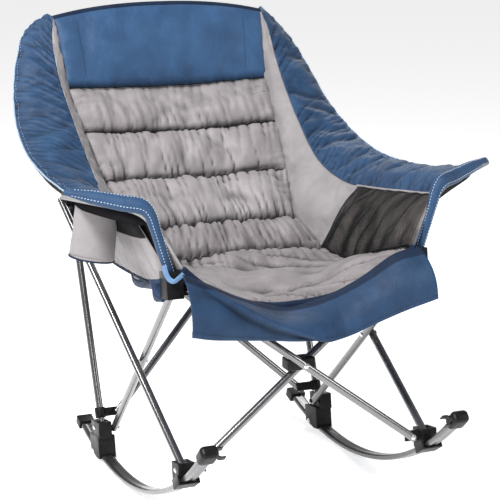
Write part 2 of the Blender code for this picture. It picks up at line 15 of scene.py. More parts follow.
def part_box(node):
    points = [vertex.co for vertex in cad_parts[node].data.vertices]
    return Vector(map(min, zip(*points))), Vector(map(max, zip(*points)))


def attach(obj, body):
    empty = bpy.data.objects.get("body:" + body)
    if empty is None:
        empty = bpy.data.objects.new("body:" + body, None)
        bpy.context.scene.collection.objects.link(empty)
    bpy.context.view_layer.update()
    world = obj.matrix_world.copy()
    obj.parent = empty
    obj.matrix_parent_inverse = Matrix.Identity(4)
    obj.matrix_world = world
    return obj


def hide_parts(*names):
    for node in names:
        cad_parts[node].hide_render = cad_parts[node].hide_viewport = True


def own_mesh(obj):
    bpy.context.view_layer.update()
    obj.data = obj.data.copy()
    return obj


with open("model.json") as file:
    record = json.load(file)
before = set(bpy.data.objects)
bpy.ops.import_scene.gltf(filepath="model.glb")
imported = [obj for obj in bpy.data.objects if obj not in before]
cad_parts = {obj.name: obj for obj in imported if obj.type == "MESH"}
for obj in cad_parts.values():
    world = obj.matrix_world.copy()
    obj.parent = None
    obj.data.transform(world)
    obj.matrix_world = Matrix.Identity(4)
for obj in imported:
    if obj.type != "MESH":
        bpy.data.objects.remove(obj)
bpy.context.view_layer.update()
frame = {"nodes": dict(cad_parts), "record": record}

CONTACT_Y = 0.0378        # the rails' contact with the floor, in the model's frame
HALF = 0.275              # posts, feet and rails, from the middle plane
FOLDED_WIDTH = 0.26 / 0.55  # what the fold leaves of the width between the posts
SIDES = (("left", 1), ("right", -1))
scene = bpy.context.scene
pieces = bpy.data.collections.new("looks")
scene.collection.children.link(pieces)


def at(x, y, z):
    return Vector((x, y + CONTACT_Y, z))


# ---- materials ----
class Nodes:
    """A short way to write a shader graph."""

    def __init__(self, name):
        self.material = bpy.data.materials.new(name)
        self.material.use_nodes = True
        self.tree = self.material.node_tree
        self.shader = self.tree.nodes["Principled BSDF"]
        self.coord = self.tree.nodes.new("ShaderNodeTexCoord").outputs["Object"]

    def new(self, kind, **settings):
        node = self.tree.nodes.new("ShaderNode" + kind)
        for key, value in settings.items():
            if key in node.inputs:
                node.inputs[key].default_value = value
            else:
                setattr(node, key, value)
        return node

    def link(self, source, target):
        self.tree.links.new(source, target)

    def noise(self, scale, detail=4.0, stretch=(1, 1, 1), rough=0.55):
        mapping = self.new("Mapping")
        mapping.inputs["Scale"].default_value = stretch
        self.link(self.coord, mapping.inputs["Vector"])
        node = self.new("TexNoise", Scale=scale, Detail=detail, Roughness=rough)
        self.link(mapping.outputs["Vector"], node.inputs["Vector"])
        return node.outputs["Fac"]

    def ramp(self, factor, stops):
        node = self.new("ValToRGB")
        ramp = node.color_ramp
        while len(ramp.elements) < len(stops):
            ramp.elements.new(0.5)
        for element, (place, colour) in zip(ramp.elements, stops):
            element.position = place
            element.color = (*colour, 1)
        self.link(factor, node.inputs["Fac"])
        return node.outputs["Color"]

    def vary(self, socket, scale, detail, stops):
        """Lets noise pick one of the shader's values between stops."""
        self.link(self.ramp(self.noise(scale, detail), stops), self.shader.inputs[socket])

    def math(self, operation, a, b):
        node = self.new("Math", operation=operation)
        for socket, value in zip(node.inputs, (a, b)):
            if isinstance(value, (int, float)):
                socket.default_value = value
            else:
                self.link(value, socket)
        return node.outputs[0]

    def weave(self, pitch):
        """Crossing threads of a pitch in metres, along all three axes, so that no UVs are needed."""
        total = None
        for axis in "XYZ":
            wave = self.new("TexWave", wave_type="BANDS", bands_direction=axis, Scale=math.tau / 20 / pitch,
                            Distortion=0.4)
            self.link(self.coord, wave.inputs["Vector"])
            total = wave.outputs["Fac"] if total is None else self.math("ADD", total, wave.outputs["Fac"])
        return total

    def bump(self, height, strength, distance):
        node = self.new("Bump", Strength=strength, Distance=distance)
        self.link(height, node.inputs["Height"])
        previous = self.shader.inputs["Normal"].links
        if previous:
            self.link(previous[0].from_socket, node.inputs["Normal"])
        self.link(node.outputs["Normal"], self.shader.inputs["Normal"])

    def set(self, values):
        for key, value in values.items():
            self.shader.inputs[key].default_value = value


def fabric(name, dark, light, rough, sheen, pitch=0.0012, wrinkle=0.5, crease=0.0, specular=0.25):
    """Woven cloth; crease is how much painted shade darkens it where the mesh's own crease attribute is 1."""
    made = Nodes(name)
    tint = made.ramp(made.noise(16.0, 5.0), [(0.30, dark), (0.70, light)])
    # Painted shade: the base colour is scaled down by the mesh's crease attribute.
    if crease:
        depth = made.new("Attribute", attribute_name="crease").outputs["Fac"]
        darker = made.new("VectorMath", operation="SCALE")
        made.link(tint, darker.inputs["Vector"])
        made.link(made.math("SUBTRACT", 1.0, made.math("MULTIPLY", depth, crease)), darker.inputs["Scale"])
        tint = darker.outputs["Vector"]
    made.link(tint, made.shader.inputs["Base Color"])
    made.vary("Roughness", 60.0, 2.0, [(0.3, (rough - 0.06,) * 3), (0.7, (rough + 0.06,) * 3)])
    made.set({"Sheen Weight": sheen, "Sheen Roughness": 0.45, "Specular IOR Level": specular})
    made.bump(made.noise(38.0, 5.0, (1.0, 1.0, 0.6), 0.6), wrinkle, 0.006)
    made.bump(made.weave(pitch), 0.14, 0.0004)
    return made.material


def metal(name, base, rough, coat):
    made = Nodes(name)
    made.vary("Base Color", 40.0, 2.0, [(0.35, [c * 0.93 for c in base]), (0.65, base)])
    made.vary("Roughness", 28.0, 3.0, [(0.35, (rough * 0.9,) * 3), (0.75, (rough * 1.2,) * 3)])
    made.set({"Metallic": 0.85, "Coat Weight": coat, "Coat Roughness": 0.12})
    made.bump(made.noise(600.0, 2.0), 0.02, 0.0002)
    return made.material


def plastic(name, base, rough):
    made = Nodes(name)
    made.vary("Base Color", 90.0, 4.0, [(0.35, [c * 0.7 for c in base]), (0.7, [c * 1.5 for c in base])])
    made.vary("Roughness", 30.0, 5.0, [(0.3, (rough - 0.08,) * 3), (0.75, (rough + 0.12,) * 3)])
    made.set({"Specular IOR Level": 0.16})
    made.bump(made.noise(1400.0, 2.0), 0.12, 0.0002)
    return made.material


# Where a cloth has crease set, its colour is darkened in the mesh's creases: painted shade.
BLUE = fabric("blue_polyester", (0.018, 0.052, 0.122), (0.030, 0.083, 0.182), 0.52, 0.2)
BAND_BLUE = fabric("blue_band_cloth", (0.011, 0.033, 0.080), (0.021, 0.059, 0.130), 0.58, 0.08,
                   wrinkle=0.35, crease=0.65)
FLAP_BLUE = fabric("blue_flap_cloth", (0.009, 0.027, 0.065), (0.017, 0.048, 0.108), 0.6, 0.0,
                   wrinkle=0.4, crease=0.6)
BLUE_DARK = fabric("blue_backing", (0.007, 0.020, 0.052), (0.012, 0.033, 0.078), 0.65, 0.1)
NAVY = fabric("navy_tape", (0.003, 0.010, 0.030), (0.006, 0.018, 0.046), 0.75, 0.0, wrinkle=0.2)
TAUPE = fabric("taupe_polyester", (0.215, 0.197, 0.202), (0.305, 0.283, 0.288), 0.5, 0.15,
               wrinkle=0.45, crease=0.88)
# A darker copy of the taupe for the seat's front and the outer panels: painted shade.
TAUPE_SHADED = fabric("taupe_painted_shade", (0.150, 0.136, 0.141), (0.245, 0.224, 0.229), 0.5, 0.15,
                    wrinkle=0.5, crease=0.85)
TAUPE_FLAT = fabric("taupe_lining", (0.215, 0.201, 0.206), (0.278, 0.261, 0.266), 0.55, 0.12, wrinkle=0.3)
MESH = plastic("black_net", (0.010, 0.010, 0.011), 0.5)
NET_BACKING = fabric("dark_lining", (0.03, 0.029, 0.028), (0.26, 0.235, 0.22), 0.6, 0.1, wrinkle=0.6)
# Near-black cloth: the net's bottom tape, and painted shade along the seams, under the arm bands and at the top
# of the outer panels.
BLACK_TAPE_AND_SHADE = fabric("black_tape_and_painted_shade", (0.005, 0.005, 0.006), (0.013, 0.0125, 0.014), 0.75, 0.0,
                      wrinkle=0.3, specular=0.05)
PIPING = fabric("light_piping", (0.22, 0.30, 0.42), (0.36, 0.46, 0.60), 0.6, 0.1, wrinkle=0.1)
THREAD = fabric("stitch_thread", (0.30, 0.38, 0.50), (0.42, 0.50, 0.62), 0.6, 0.0, wrinkle=0.0)
DARK_THREAD = fabric("dark_thread", (0.022, 0.024, 0.032), (0.030, 0.032, 0.042), 0.7, 0.0, wrinkle=0.0)
WEBBING = fabric("light_blue_webbing", (0.10, 0.19, 0.34), (0.17, 0.29, 0.47), 0.6, 0.1, 0.002, 0.1)
GUNMETAL = metal("gunmetal_tube", (0.19, 0.19, 0.194), 0.20, 0.4)
RAIL_GREY = metal("rail_tube", (0.13, 0.13, 0.134), 0.30, 0.3)
STEEL = metal("rivet_steel", (0.72, 0.72, 0.72), 0.22, 0.0)
BLACK = plastic("black_nylon", (0.007, 0.007, 0.0075), 0.40)


# ---- building helpers ----
def spline(points, t):
    """Catmull-Rom through points; t runs from 0 to len(points) - 1."""
    last = len(points) - 1
    i = min(max(int(t), 0), last - 1)
    f = t - i
    p1, p2 = Vector(points[i]), Vector(points[i + 1])
    p0 = Vector(points[i - 1]) if i > 0 else p1 * 2 - p2
    p3 = Vector(points[i + 2]) if i + 2 <= last else p2 * 2 - p1
    return 0.5 * (p1 * 2 + (p2 - p0) * f + (p0 * 2 - p1 * 5 + p2 * 4 - p3) * f * f
                  + (p1 * 3 - p0 - p2 * 3 + p3) * f ** 3)


def line(points, count):
    """A spline read at even steps of its parameter, as an array."""
    return np.array([spline(points, (len(points) - 1) * k / (count - 1)) for k in range(count)])


def run_along(points):
    """The distance along a line from its first point to each of its points."""
    return np.concatenate([[0], np.cumsum(np.linalg.norm(np.diff(points, axis=0), axis=1))])


def even_line(points, count):
    """A spline read at even distances."""
    fine = line(points, 40 * len(points))
    run = run_along(fine)
    want = np.linspace(0, run[-1], count)
    return np.stack([np.interp(want, run, fine[:, k]) for k in range(3)], 1)


def placed(points, side=1):
    """Points of the floor frame, mirrored for a side, in the model's frame."""
    return [at(side * x, y, z) for x, y, z in points]


def between(a, b, shares):
    """A grid of points from line a to line b, at the given shares of the way."""
    return a[:, None] * (1 - shares)[None, :, None] + b[:, None] * shares[None, :, None]


def from_ends(count):
    """How far each place in a row lies from the row's nearer end."""
    return np.minimum(np.arange(count), np.arange(count)[::-1])


def grid_normals(grid, toward):
    """Unit normals of a grid of points, on the side of the point toward."""
    along = np.gradient(grid, axis=0)
    across = np.gradient(grid, axis=1)
    normal = np.cross(along, across)
    normal /= np.maximum(np.linalg.norm(normal, axis=2, keepdims=True), 1e-9)
    facing = np.sum(normal * (np.array(toward) - grid))
    return normal * (1 if facing > 0 else -1)


def calmed(move, passes):
    """Smooths a grid of moves, border excepted, so that only its broad swellings stay."""
    for _ in range(passes):
        around = (move[:-2, 1:-1] + move[2:, 1:-1] + move[1:-1, :-2] + move[1:-1, 2:]) / 4
        move = move.copy()
        move[1:-1, 1:-1] = 0.4 * move[1:-1, 1:-1] + 0.6 * around
    return move


def field(grid, scale, seed, stretch=(1, 1, 1)):
    """Smooth noise at each point of a grid, about -1 to 1."""
    shift = Vector((seed * 7.31, seed * 3.17, seed * 5.71))
    size = Vector(stretch) * scale
    flat = [noise.noise(Vector((p[0] * size.x, p[1] * size.y, p[2] * size.z)) + shift)
            for p in grid.reshape(-1, 3)]
    return np.array(flat).reshape(grid.shape[:2])


def new_piece(name, mesh, materials, body=None, smooth=True):
    obj = bpy.data.objects.new(name, mesh)
    pieces.objects.link(obj)
    for stuff in materials:
        mesh.materials.append(stuff)
    if smooth:
        mesh.shade_smooth()
    if body:
        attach(obj, body)
    return obj


def grid_quads(rows, columns):
    """The corners of each face of a grid of points."""
    index = np.arange(rows * columns).reshape(rows, columns)
    corners = [index[:-1, :-1], index[:-1, 1:], index[1:, 1:], index[1:, :-1]]
    return np.stack(corners, 2).reshape(-1, 4).tolist()


def grid_mesh(name, grid):
    mesh = bpy.data.meshes.new(name)
    mesh.from_pydata(grid.reshape(-1, 3).tolist(), [], grid_quads(*grid.shape[:2]))
    return mesh


def inflate(name, grid, pinned, growth, pressure, cap, toward, frames=18, stiff=8.0):
    """Blows a grid up from its pinned points with Blender's cloth; growth is spare cloth for puckers.

    The result is applied: the grid that comes back holds the simulated points, none moved by more
    than cap."""
    outward = grid_normals(grid, toward)
    start = grid + outward * (0.0012 * field(grid, 34, 3) + 0.0006)[..., None]
    mesh = grid_mesh(name + "_cloth", start)
    obj = bpy.data.objects.new(name + "_cloth", mesh)
    scene.collection.objects.link(obj)
    first = Vector(outward[grid.shape[0] // 2, grid.shape[1] // 2])
    mesh.update()
    middle = mesh.polygons[len(mesh.polygons) // 2]
    if middle.normal.dot(first) < 0:
        mesh.flip_normals()
    group = obj.vertex_groups.new(name="pins")
    group.add([int(i) for i in np.flatnonzero(pinned.reshape(-1))], 1.0, "REPLACE")
    cloth = obj.modifiers.new("cloth", "CLOTH")
    for key, value in dict(
            quality=4, mass=0.25, air_damping=4.0, tension_stiffness=stiff, compression_stiffness=stiff,
            shear_stiffness=stiff * 0.6, bending_stiffness=0.12, tension_damping=12, compression_damping=12,
            shrink_min=-growth, shrink_max=-growth, use_pressure=True, uniform_pressure_force=pressure,
            vertex_group_mass="pins").items():
        setattr(cloth.settings, key, value)
    cloth.settings.effector_weights.gravity = 0
    cloth.collision_settings.use_collision = False
    cloth.point_cache.frame_start, cloth.point_cache.frame_end = 1, frames
    for k in range(1, frames + 1):
        scene.frame_set(k)
    shaped = obj.evaluated_get(bpy.context.evaluated_depsgraph_get()).to_mesh()
    result = np.empty(len(shaped.vertices) * 3)
    shaped.vertices.foreach_get("co", result)
    result = result.reshape(grid.shape)
    bpy.data.objects.remove(obj, do_unlink=True)
    scene.frame_set(1)
    move = result - grid
    far = np.linalg.norm(move, axis=2, keepdims=True)
    move *= np.minimum(1, cap / np.maximum(far, 1e-9))
    inward = np.minimum(0, np.sum(move * outward, axis=2, keepdims=True) + 0.002)
    return grid + move - outward * inward


def crease_shade_of(height, passes, deep):
    """How far each point of a height grid lies below its surroundings, 0 level, 1 at deep or more; it weights
    the painted shade in creases.
    """
    return np.clip((calmed(height, passes) - height) / deep, 0, 1)


def close_pad(name, front, back, materials, body, crease=None):
    """A closed pad from a front and a back grid that share their border's layout.

    The front has the first material, the back and the rim have the second."""
    rows, columns = front.shape[:2]
    count = rows * columns
    faces, slots = [], []
    for quad in grid_quads(rows, columns):
        faces += [quad, [i + count for i in quad[::-1]]]
        slots += [0, 1]
    index = np.arange(count).reshape(rows, columns)
    ring = [int(i) for i in (*index[0], *index[1:, -1], *index[-1, -2::-1], *index[-2:0:-1, 0])]
    for a, b in zip(ring, ring[1:] + ring[:1]):
        faces.append((b, a, a + count, b + count))
        slots.append(1)
    mesh = bpy.data.meshes.new(name)
    mesh.from_pydata(np.concatenate([front.reshape(-1, 3), back.reshape(-1, 3)]).tolist(), [], faces)
    mesh.polygons.foreach_set("material_index", slots)
    # The crease attribute tells the fabric where to paint shade.
    if crease is not None:
        values = mesh.attributes.new("crease", "FLOAT", "POINT")
        values.data.foreach_set("value", np.concatenate([crease.ravel(), np.zeros(count)]))
    shape = bmesh.new()
    shape.from_mesh(mesh)
    bmesh.ops.recalc_face_normals(shape, faces=shape.faces)
    shape.to_mesh(mesh)
    shape.free()
    return new_piece(name, mesh, materials, body)


def squash_all(how, *made):
    """Gives each piece its own copy of its mesh; how is not used."""
    for piece in made:
        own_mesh(piece)


def edge_taper(rows, columns, reach):
    """0 on a grid's border, 1 beyond reach cells inside."""
    near = np.minimum(np.minimum(from_ends(rows)[:, None], from_ends(columns)[None, :]) / reach, 1.0)
    return np.sqrt(1 - (1 - near) ** 2)


def circle(count):
    """Angles once round, in even steps."""
    return [math.tau * k / count for k in range(count)]


def bridge(shape, rings, order=1):
    """Faces between each ring of vertices and the next one; order -1 turns them over."""
    for lower, upper in zip(rings, rings[1:]):
        for k in range(len(lower)):
            shape.faces.new((lower[k - 1], lower[k], upper[k], upper[k - 1])[::order])


def piece_of(shape, name, materials, body, sharp=None):
    """A piece from a finished bmesh; edges that turn by more than sharp degrees stay hard."""
    mesh = bpy.data.meshes.new(name)
    shape.to_mesh(mesh)
    shape.free()
    made = new_piece(name, mesh, materials, body)
    if sharp:
        mesh.set_sharp_from_angle(angle=math.radians(sharp))
    return made


def rounded_block(size, bevel, segments, profile, place=Matrix()):
    """A box with rounded edges, as a bmesh."""
    shape = bmesh.new()
    bmesh.ops.create_cube(shape, size=1.0, matrix=place @ Matrix.Diagonal((*size, 1)))
    bmesh.ops.bevel(shape, geom=shape.edges, offset=bevel, segments=segments, affect="EDGES", profile=profile)
    return shape


def tube_along(name, points, radii, stuff, body, sides=12, flat=1.0, up=(0, 0, 1)):
    """A closed round or oval tube along points; flat scales its size along up."""
    points = np.array([tuple(p) for p in points])
    radii = np.broadcast_to(radii, len(points))
    shape = bmesh.new()
    rings = []
    for p, t, r in zip(points, np.gradient(points, axis=0), radii):
        t = Vector(t).normalized()
        side = t.cross(Vector(up))
        side = side.normalized() if side.length > 1e-6 else Vector((1, 0, 0))
        rise = side.cross(t).normalized()
        rings.append([shape.verts.new(Vector(p) + side * r * math.cos(a) + rise * r * flat * math.sin(a))
                      for a in circle(sides)])
    bridge(shape, rings)
    shape.faces.new(rings[0])
    shape.faces.new(rings[-1][::-1])
    bmesh.ops.recalc_face_normals(shape, faces=shape.faces)
    return piece_of(shape, name, [stuff], body, sharp=50)


def stitches(name, points, stuff, body, pitch=0.006, length=0.0042, radius=0.0007):
    """A row of thread dashes along a line, as one mesh."""
    run = run_along(points)
    shape = bmesh.new()
    for k in range(max(2, int(run[-1] / pitch))):
        a, b = (Vector([np.interp(pitch * k + d, run, points[:, i]) for i in range(3)]) for d in (0, length))
        if (b - a).length < 1e-5:
            continue
        turn = (b - a).to_track_quat("Z", "Y").to_matrix().to_4x4()
        stretch = Matrix.Diagonal((1, 1, (b - a).length / 2 / radius, 1))
        bmesh.ops.create_icosphere(shape, subdivisions=1, radius=radius,
                                   matrix=Matrix.Translation((a + b) / 2) @ turn @ stretch)
    return piece_of(shape, name, [stuff], body)


# ---- the sling's shape ----
# Stations along the sling from the seat's front edge to the top: its middle line and its edge.
MIDDLE = [(0, -0.346, 0.454), (0, -0.210, 0.442), (0, -0.050, 0.466), (0, 0.094, 0.537), (0, 0.235, 0.620),
          (0, 0.330, 0.718), (0, 0.415, 0.818), (0, 0.462, 1.010)]
EDGE = [(0.258, -0.392, 0.562), (0.256, -0.250, 0.520), (0.253, -0.070, 0.470), (0.212, 0.100, 0.534),
        (0.236, 0.222, 0.632), (0.248, 0.312, 0.732), (0.257, 0.396, 0.830), (0.268, 0.462, 0.984)]
# Stations down a wing and along the arm: inner edge of the blue band, its outer edge, and the place
# on the sling's edge that the inner wall comes from.
BAND_IN = [(0.268, 0.460, 0.988), (0.279, 0.432, 0.930), (0.281, 0.392, 0.872), (0.280, 0.345, 0.820),
           (0.277, 0.250, 0.740), (0.277, 0.130, 0.660), (0.290, 0.010, 0.627), (0.299, -0.120, 0.635),
           (0.306, -0.250, 0.650), (0.313, -0.366, 0.664)]
BAND_OUT = [(0.276, 0.480, 0.994), (0.326, 0.500, 0.952), (0.360, 0.456, 0.896), (0.384, 0.403, 0.828),
            (0.401, 0.325, 0.757), (0.409, 0.209, 0.706), (0.408, 0.084, 0.682), (0.411, -0.050, 0.677),
            (0.424, -0.190, 0.685), (0.450, -0.292, 0.702)]
WALL_FROM = [7.0, 6.62, 6.25, 5.9, 5.0, 3.95, 2.75, 2.0, 1.0, 0.0]
ARM_SPLIT, PANEL_SPLIT = 6.0, 6.45   # where the wing ends on the band, and on the wall below it
BUCKET_CENTRE = at(0, -0.15, 0.95)
ROWS_PER = 26              # rows of points between two stations
SEAT_SEAM = 61 / ROWS_PER  # the seam across the back of the seat
SEAMS = (0, SEAT_SEAM, 3, 4, 5, 6, 7)
SEAT_SPLIT, BACK_FIRST, HEAD_FIRST, TOP = 3, 5, 6, 7  # where the quilt is cut into its pieces
COLUMNS = 121


def sling_point(t, u):
    middle, edge = spline(MIDDLE, t), spline(EDGE, t)
    rise = abs(u) ** 2.3
    return Vector((edge.x * u, middle.y + (edge.y - middle.y) * rise, middle.z + (edge.z - middle.z) * rise))


sling = np.array([[at(*sling_point(k / ROWS_PER, u)) for u in np.linspace(-1, 1, COLUMNS)]
                  for k in range(TOP * ROWS_PER + 1)])
sling_rows, sling_normal = sling.shape[0], grid_normals(sling, BUCKET_CENTRE)
stations = np.arange(sling_rows) / ROWS_PER
span = np.linspace(-1, 1, COLUMNS)


def column_at(u):
    return int(np.argmin(np.abs(span - u)))


# Short tufts in the channels and the seat, where the filling is caught down: the station, the place
# across, and half the tuft's length in stations.
TUFTS = ((5.5, -0.08, 0.30), (5.45, 0.12, 0.22), (4.55, 0.35, 0.25), (3.5, -0.42, 0.3), (3.6, 0.3, 0.28),
         (2.55, 0.1, 0.24), (2.1, -0.45, 0.1), (1.4, 0.45, 0.1))
HEADREST_SIDES = [column_at(u) for u in (-0.80, 0.80)]
HEADREST_LOW = int(6.15 * ROWS_PER)  # the row where the headrest's side seams start

pins = np.zeros(sling.shape[:2], bool)
for seam in SEAMS:
    pins[round(seam * ROWS_PER)] = True
pins[:, :2] = pins[:, -2:] = True
for k in HEADREST_SIDES:
    pins[HEADREST_LOW:, k] = True
for t, u, half_length in TUFTS:
    for j in range(int((t - half_length) * ROWS_PER), int((t + half_length) * ROWS_PER)):
        if j % 9 == 0:
            pins[j, column_at(u)] = True

puffed = inflate("sling", sling, pins, growth=0.085, pressure=7.5, cap=0.030, toward=BUCKET_CENTRE, frames=22)
# The seat's swelling is smoothed more than the back's.
in_seat = np.clip((SEAT_SEAM - stations) / 0.3, 0, 1)[:, None, None]
puffed = sling + calmed(puffed - sling, 6) * (1 - in_seat) + calmed(puffed - sling, 26) * in_seat


def gathers(distance, position, seed, spacing, reach):
    """Creases that start at a seam and fade away from it, unevenly spaced along the seam."""
    shift = 0.35 * distance / reach
    value = np.array([noise.noise(Vector((p / spacing + s, seed * 9.7, 0.0)))
                      for p, s in zip(np.ravel(position + 0 * distance), np.ravel(shift + 0 * position))])
    crease = np.exp(-(np.abs(value) / 0.13) ** 1.4).reshape(np.broadcast(distance, position).shape)
    return (0.35 - crease) * np.exp(-(distance / reach) ** 1.5)


def sling_puckers():
    """Gathers on both sides of each sewn channel seam, and long slanting folds in the seat."""
    rows = np.arange(sling_rows)[:, None]
    across = (span * 0.25)[None, :]
    run = run_along(sling[:, COLUMNS // 2])[:, None]
    total = np.zeros(sling.shape[:2])
    for seam, weight in ((SEAT_SEAM, 1.1), (3, 1.5), (4, 1.4), (5, 0.95), (6, 0.45)):
        offset = run - run[round(seam * ROWS_PER)]
        for below, reach in ((True, 0.060), (False, 0.044)):
            mask = offset <= 0 if below else offset >= 0
            folds = gathers(np.abs(offset), across, seed=round(seam * 2) + below, spacing=0.021, reach=reach)
            total = total + mask * weight * folds
    from_side = (1 - np.abs(span[None, :])) * 0.25
    sides = gathers(from_side + 0 * run, run + 0 * across, seed=17, spacing=0.024, reach=0.045)
    total = total + 0.7 * sides * (rows < HEAD_FIRST * ROWS_PER)
    total = total + 0.9 * gathers(run + 0 * across, across, seed=29, spacing=0.017, reach=0.035)
    seat = np.clip((SEAT_SEAM * ROWS_PER - rows) / (0.2 * ROWS_PER), 0, 1)
    slant = [noise.noise(Vector(((x * 0.62 + y * 1.1) * 17, (x * 0.5 - y * 0.4) * 5, 3.3)))
             for x, y, _ in sling.reshape(-1, 3)]
    slant = np.array(slant).reshape(total.shape)
    return total, seat * (0.35 - np.exp(-(np.abs(slant) / 0.15) ** 1.5))


def channel_domes():
    """How far each channel's middle stands above its seams, per row."""
    share = stations - np.floor(stations)
    low_channel = np.clip((stations - SEAT_SEAM) / (SEAT_SPLIT - SEAT_SEAM), 0, 1)
    channels = (stations > SEAT_SPLIT) & (stations < HEAD_FIRST)
    dome = np.where(channels, np.sin(np.pi * share) ** 0.6, 0) * 0.012
    dome = dome + np.sin(np.pi * low_channel) ** 0.6 * 0.008
    return dome + np.where(stations >= HEAD_FIRST, np.sin(np.pi * share) ** 0.5, 0) * 0.005


def seam_grooves(width_rows=1.3, depth=0.0105):
    """How far the sewn seams pull the cloth down."""
    pull = np.zeros(sling_rows)
    for seam in SEAMS[1:-1]:
        pull = np.maximum(pull, np.exp(-((np.arange(sling_rows) - round(seam * ROWS_PER)) / width_rows) ** 2))
    return pull[:, None, None] * depth


# The headrest is calmer than the rest: 0.6 of it is the plain panel.
calm = np.where(stations > HEAD_FIRST, 0.6, 0.0)[:, None, None]
inside = edge_taper(sling_rows, COLUMNS, 5)
puffed = puffed * (1 - calm) + (sling + sling_normal * 0.010 * inside[..., None]) * calm
pucker, seat_folds = sling_puckers()
creases = 0.0104 * pucker + 0.0112 * seat_folds + 0.0010 * field(sling, 40, 5, (1, 1, 0.5))
creases = creases * (1 - 0.75 * (calm[..., 0] > 0)) + channel_domes()[:, None]
puffed = puffed + sling_normal * (creases * inside)[..., None]
puffed = puffed - sling_normal * seam_grooves()
# Painted shade in the sling's creases and seam grooves.
sling_crease_shade = crease_shade_of(np.sum((puffed - sling) * sling_normal, axis=2), passes=24, deep=0.0065)

FOLD_ACROSS = dict(axis=(1, 0, 0), anchor=(-HALF, 0, 0), keep=FOLDED_WIDTH)
PAD_BACK, PAD_SWELL = 0.015, 0.003  # how far the quilt's back lies behind it at a border, and more inside
for name, first, last, stuff, body, node in (
        ("seat_front_quilt", 0, SEAT_SPLIT, TAUPE_SHADED, "seat_front", "seat_pad_front"),
        ("seat_rear_quilt", SEAT_SPLIT, BACK_FIRST, TAUPE, "seat_rear", "seat_pad_rear"),
        ("back_quilt", BACK_FIRST, HEAD_FIRST, TAUPE, "post_right", "back_pad"),
        ("headrest", HEAD_FIRST, TOP, BLUE, "post_right", "headrest_pad")):
    cut = slice(first * ROWS_PER, last * ROWS_PER + 1)
    taper = edge_taper(len(puffed[cut]), COLUMNS, 8)
    pad_back = sling[cut] - sling_normal[cut] * (PAD_BACK + PAD_SWELL * taper)[..., None]
    pad = close_pad(name, puffed[cut], pad_back, [stuff, BLUE_DARK], body, crease=sling_crease_shade[cut])
    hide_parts(node)
    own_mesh(pad)

# Each seam gets a dark cord, which is painted shadow for the seam's groove, and thread dashes.
for label, t, body in (("headrest", HEAD_FIRST, "post_right"), ("upper", BACK_FIRST, "post_right"),
                       ("middle", 4, "seat_rear"), ("lower", SEAT_SPLIT, "seat_rear"),
                       ("seat", SEAT_SEAM, "seat_front")):
    row = round(t * ROWS_PER)
    points = (puffed[row] + sling_normal[row] * 0.0004)[np.abs(span) <= 0.985]
    squash_all(FOLD_ACROSS, tube_along(f"{label}_seam", points, 0.0013, BLACK_TAPE_AND_SHADE, body, 6),
               stitches(f"{label}_seam_stitches", points, DARK_THREAD, body))
for label, k in zip(("right", "left"), HEADREST_SIDES):
    cut = slice(HEADREST_LOW + 1, sling_rows - 3)
    points = puffed[cut, k] + sling_normal[cut, k] * 0.001
    squash_all(FOLD_ACROSS, stitches(f"headrest_side_stitches_{label}", points, DARK_THREAD, "post_right"))
# The bound top edge of the back and the bound front edge of the seat.
for name, row, below, size, body in (("top_binding", -1, 0.004, 0.0075, "post_right"),
                                     ("seat_front_binding", 0, 0.002, 0.0072, "seat_front")):
    edge = puffed[row] - sling_normal[row] * below
    squash_all(FOLD_ACROSS, tube_along(name, edge, size, NAVY, body, 10))


# ---- inner walls, wings and arm bands ----
POST_FOLD = dict(axis=(0, 1, 0), anchor=(0, 0.46 + CONTACT_Y, 0), keep=0.45)
ARM_FOLD = dict(axis=(0, 1, 0), anchor=(0, -0.35 + CONTACT_Y, 0), keep=0.45)
BAND_LAST = 9             # the last station of the band, at the arm's front


def band_part(points, first, last):
    """The stretch of a station line between two stations, as a list of points."""
    count = int((last - first) * 4) + 1
    return [spline(points, first + (last - first) * k / (count - 1)) for k in range(count)]


def wall_stations(first, last, steps):
    """The places on the sling's edge that a stretch of wall comes from."""
    return [np.interp(first + (last - first) * k / steps, range(len(WALL_FROM)), WALL_FROM)
            for k in range(steps + 1)]


def loft(edge_a, edge_b, rows, columns, bulge, toward):
    """A grid between two lines, bulged towards a point like a stuffed band."""
    u = np.linspace(0, 1, columns)
    grid = between(even_line(edge_a, rows), even_line(edge_b, rows), u)
    out = grid_normals(grid, toward)
    ends = np.minimum(from_ends(rows) / 4, 1.0)
    return grid + out * (bulge * np.sin(np.pi * u) ** 0.7)[None, :, None] * ends[:, None, None]


def border_pins(grid):
    pins = np.zeros(grid.shape[:2], bool)
    pins[0] = pins[-1] = True
    pins[:, 0] = pins[:, -1] = True
    return pins


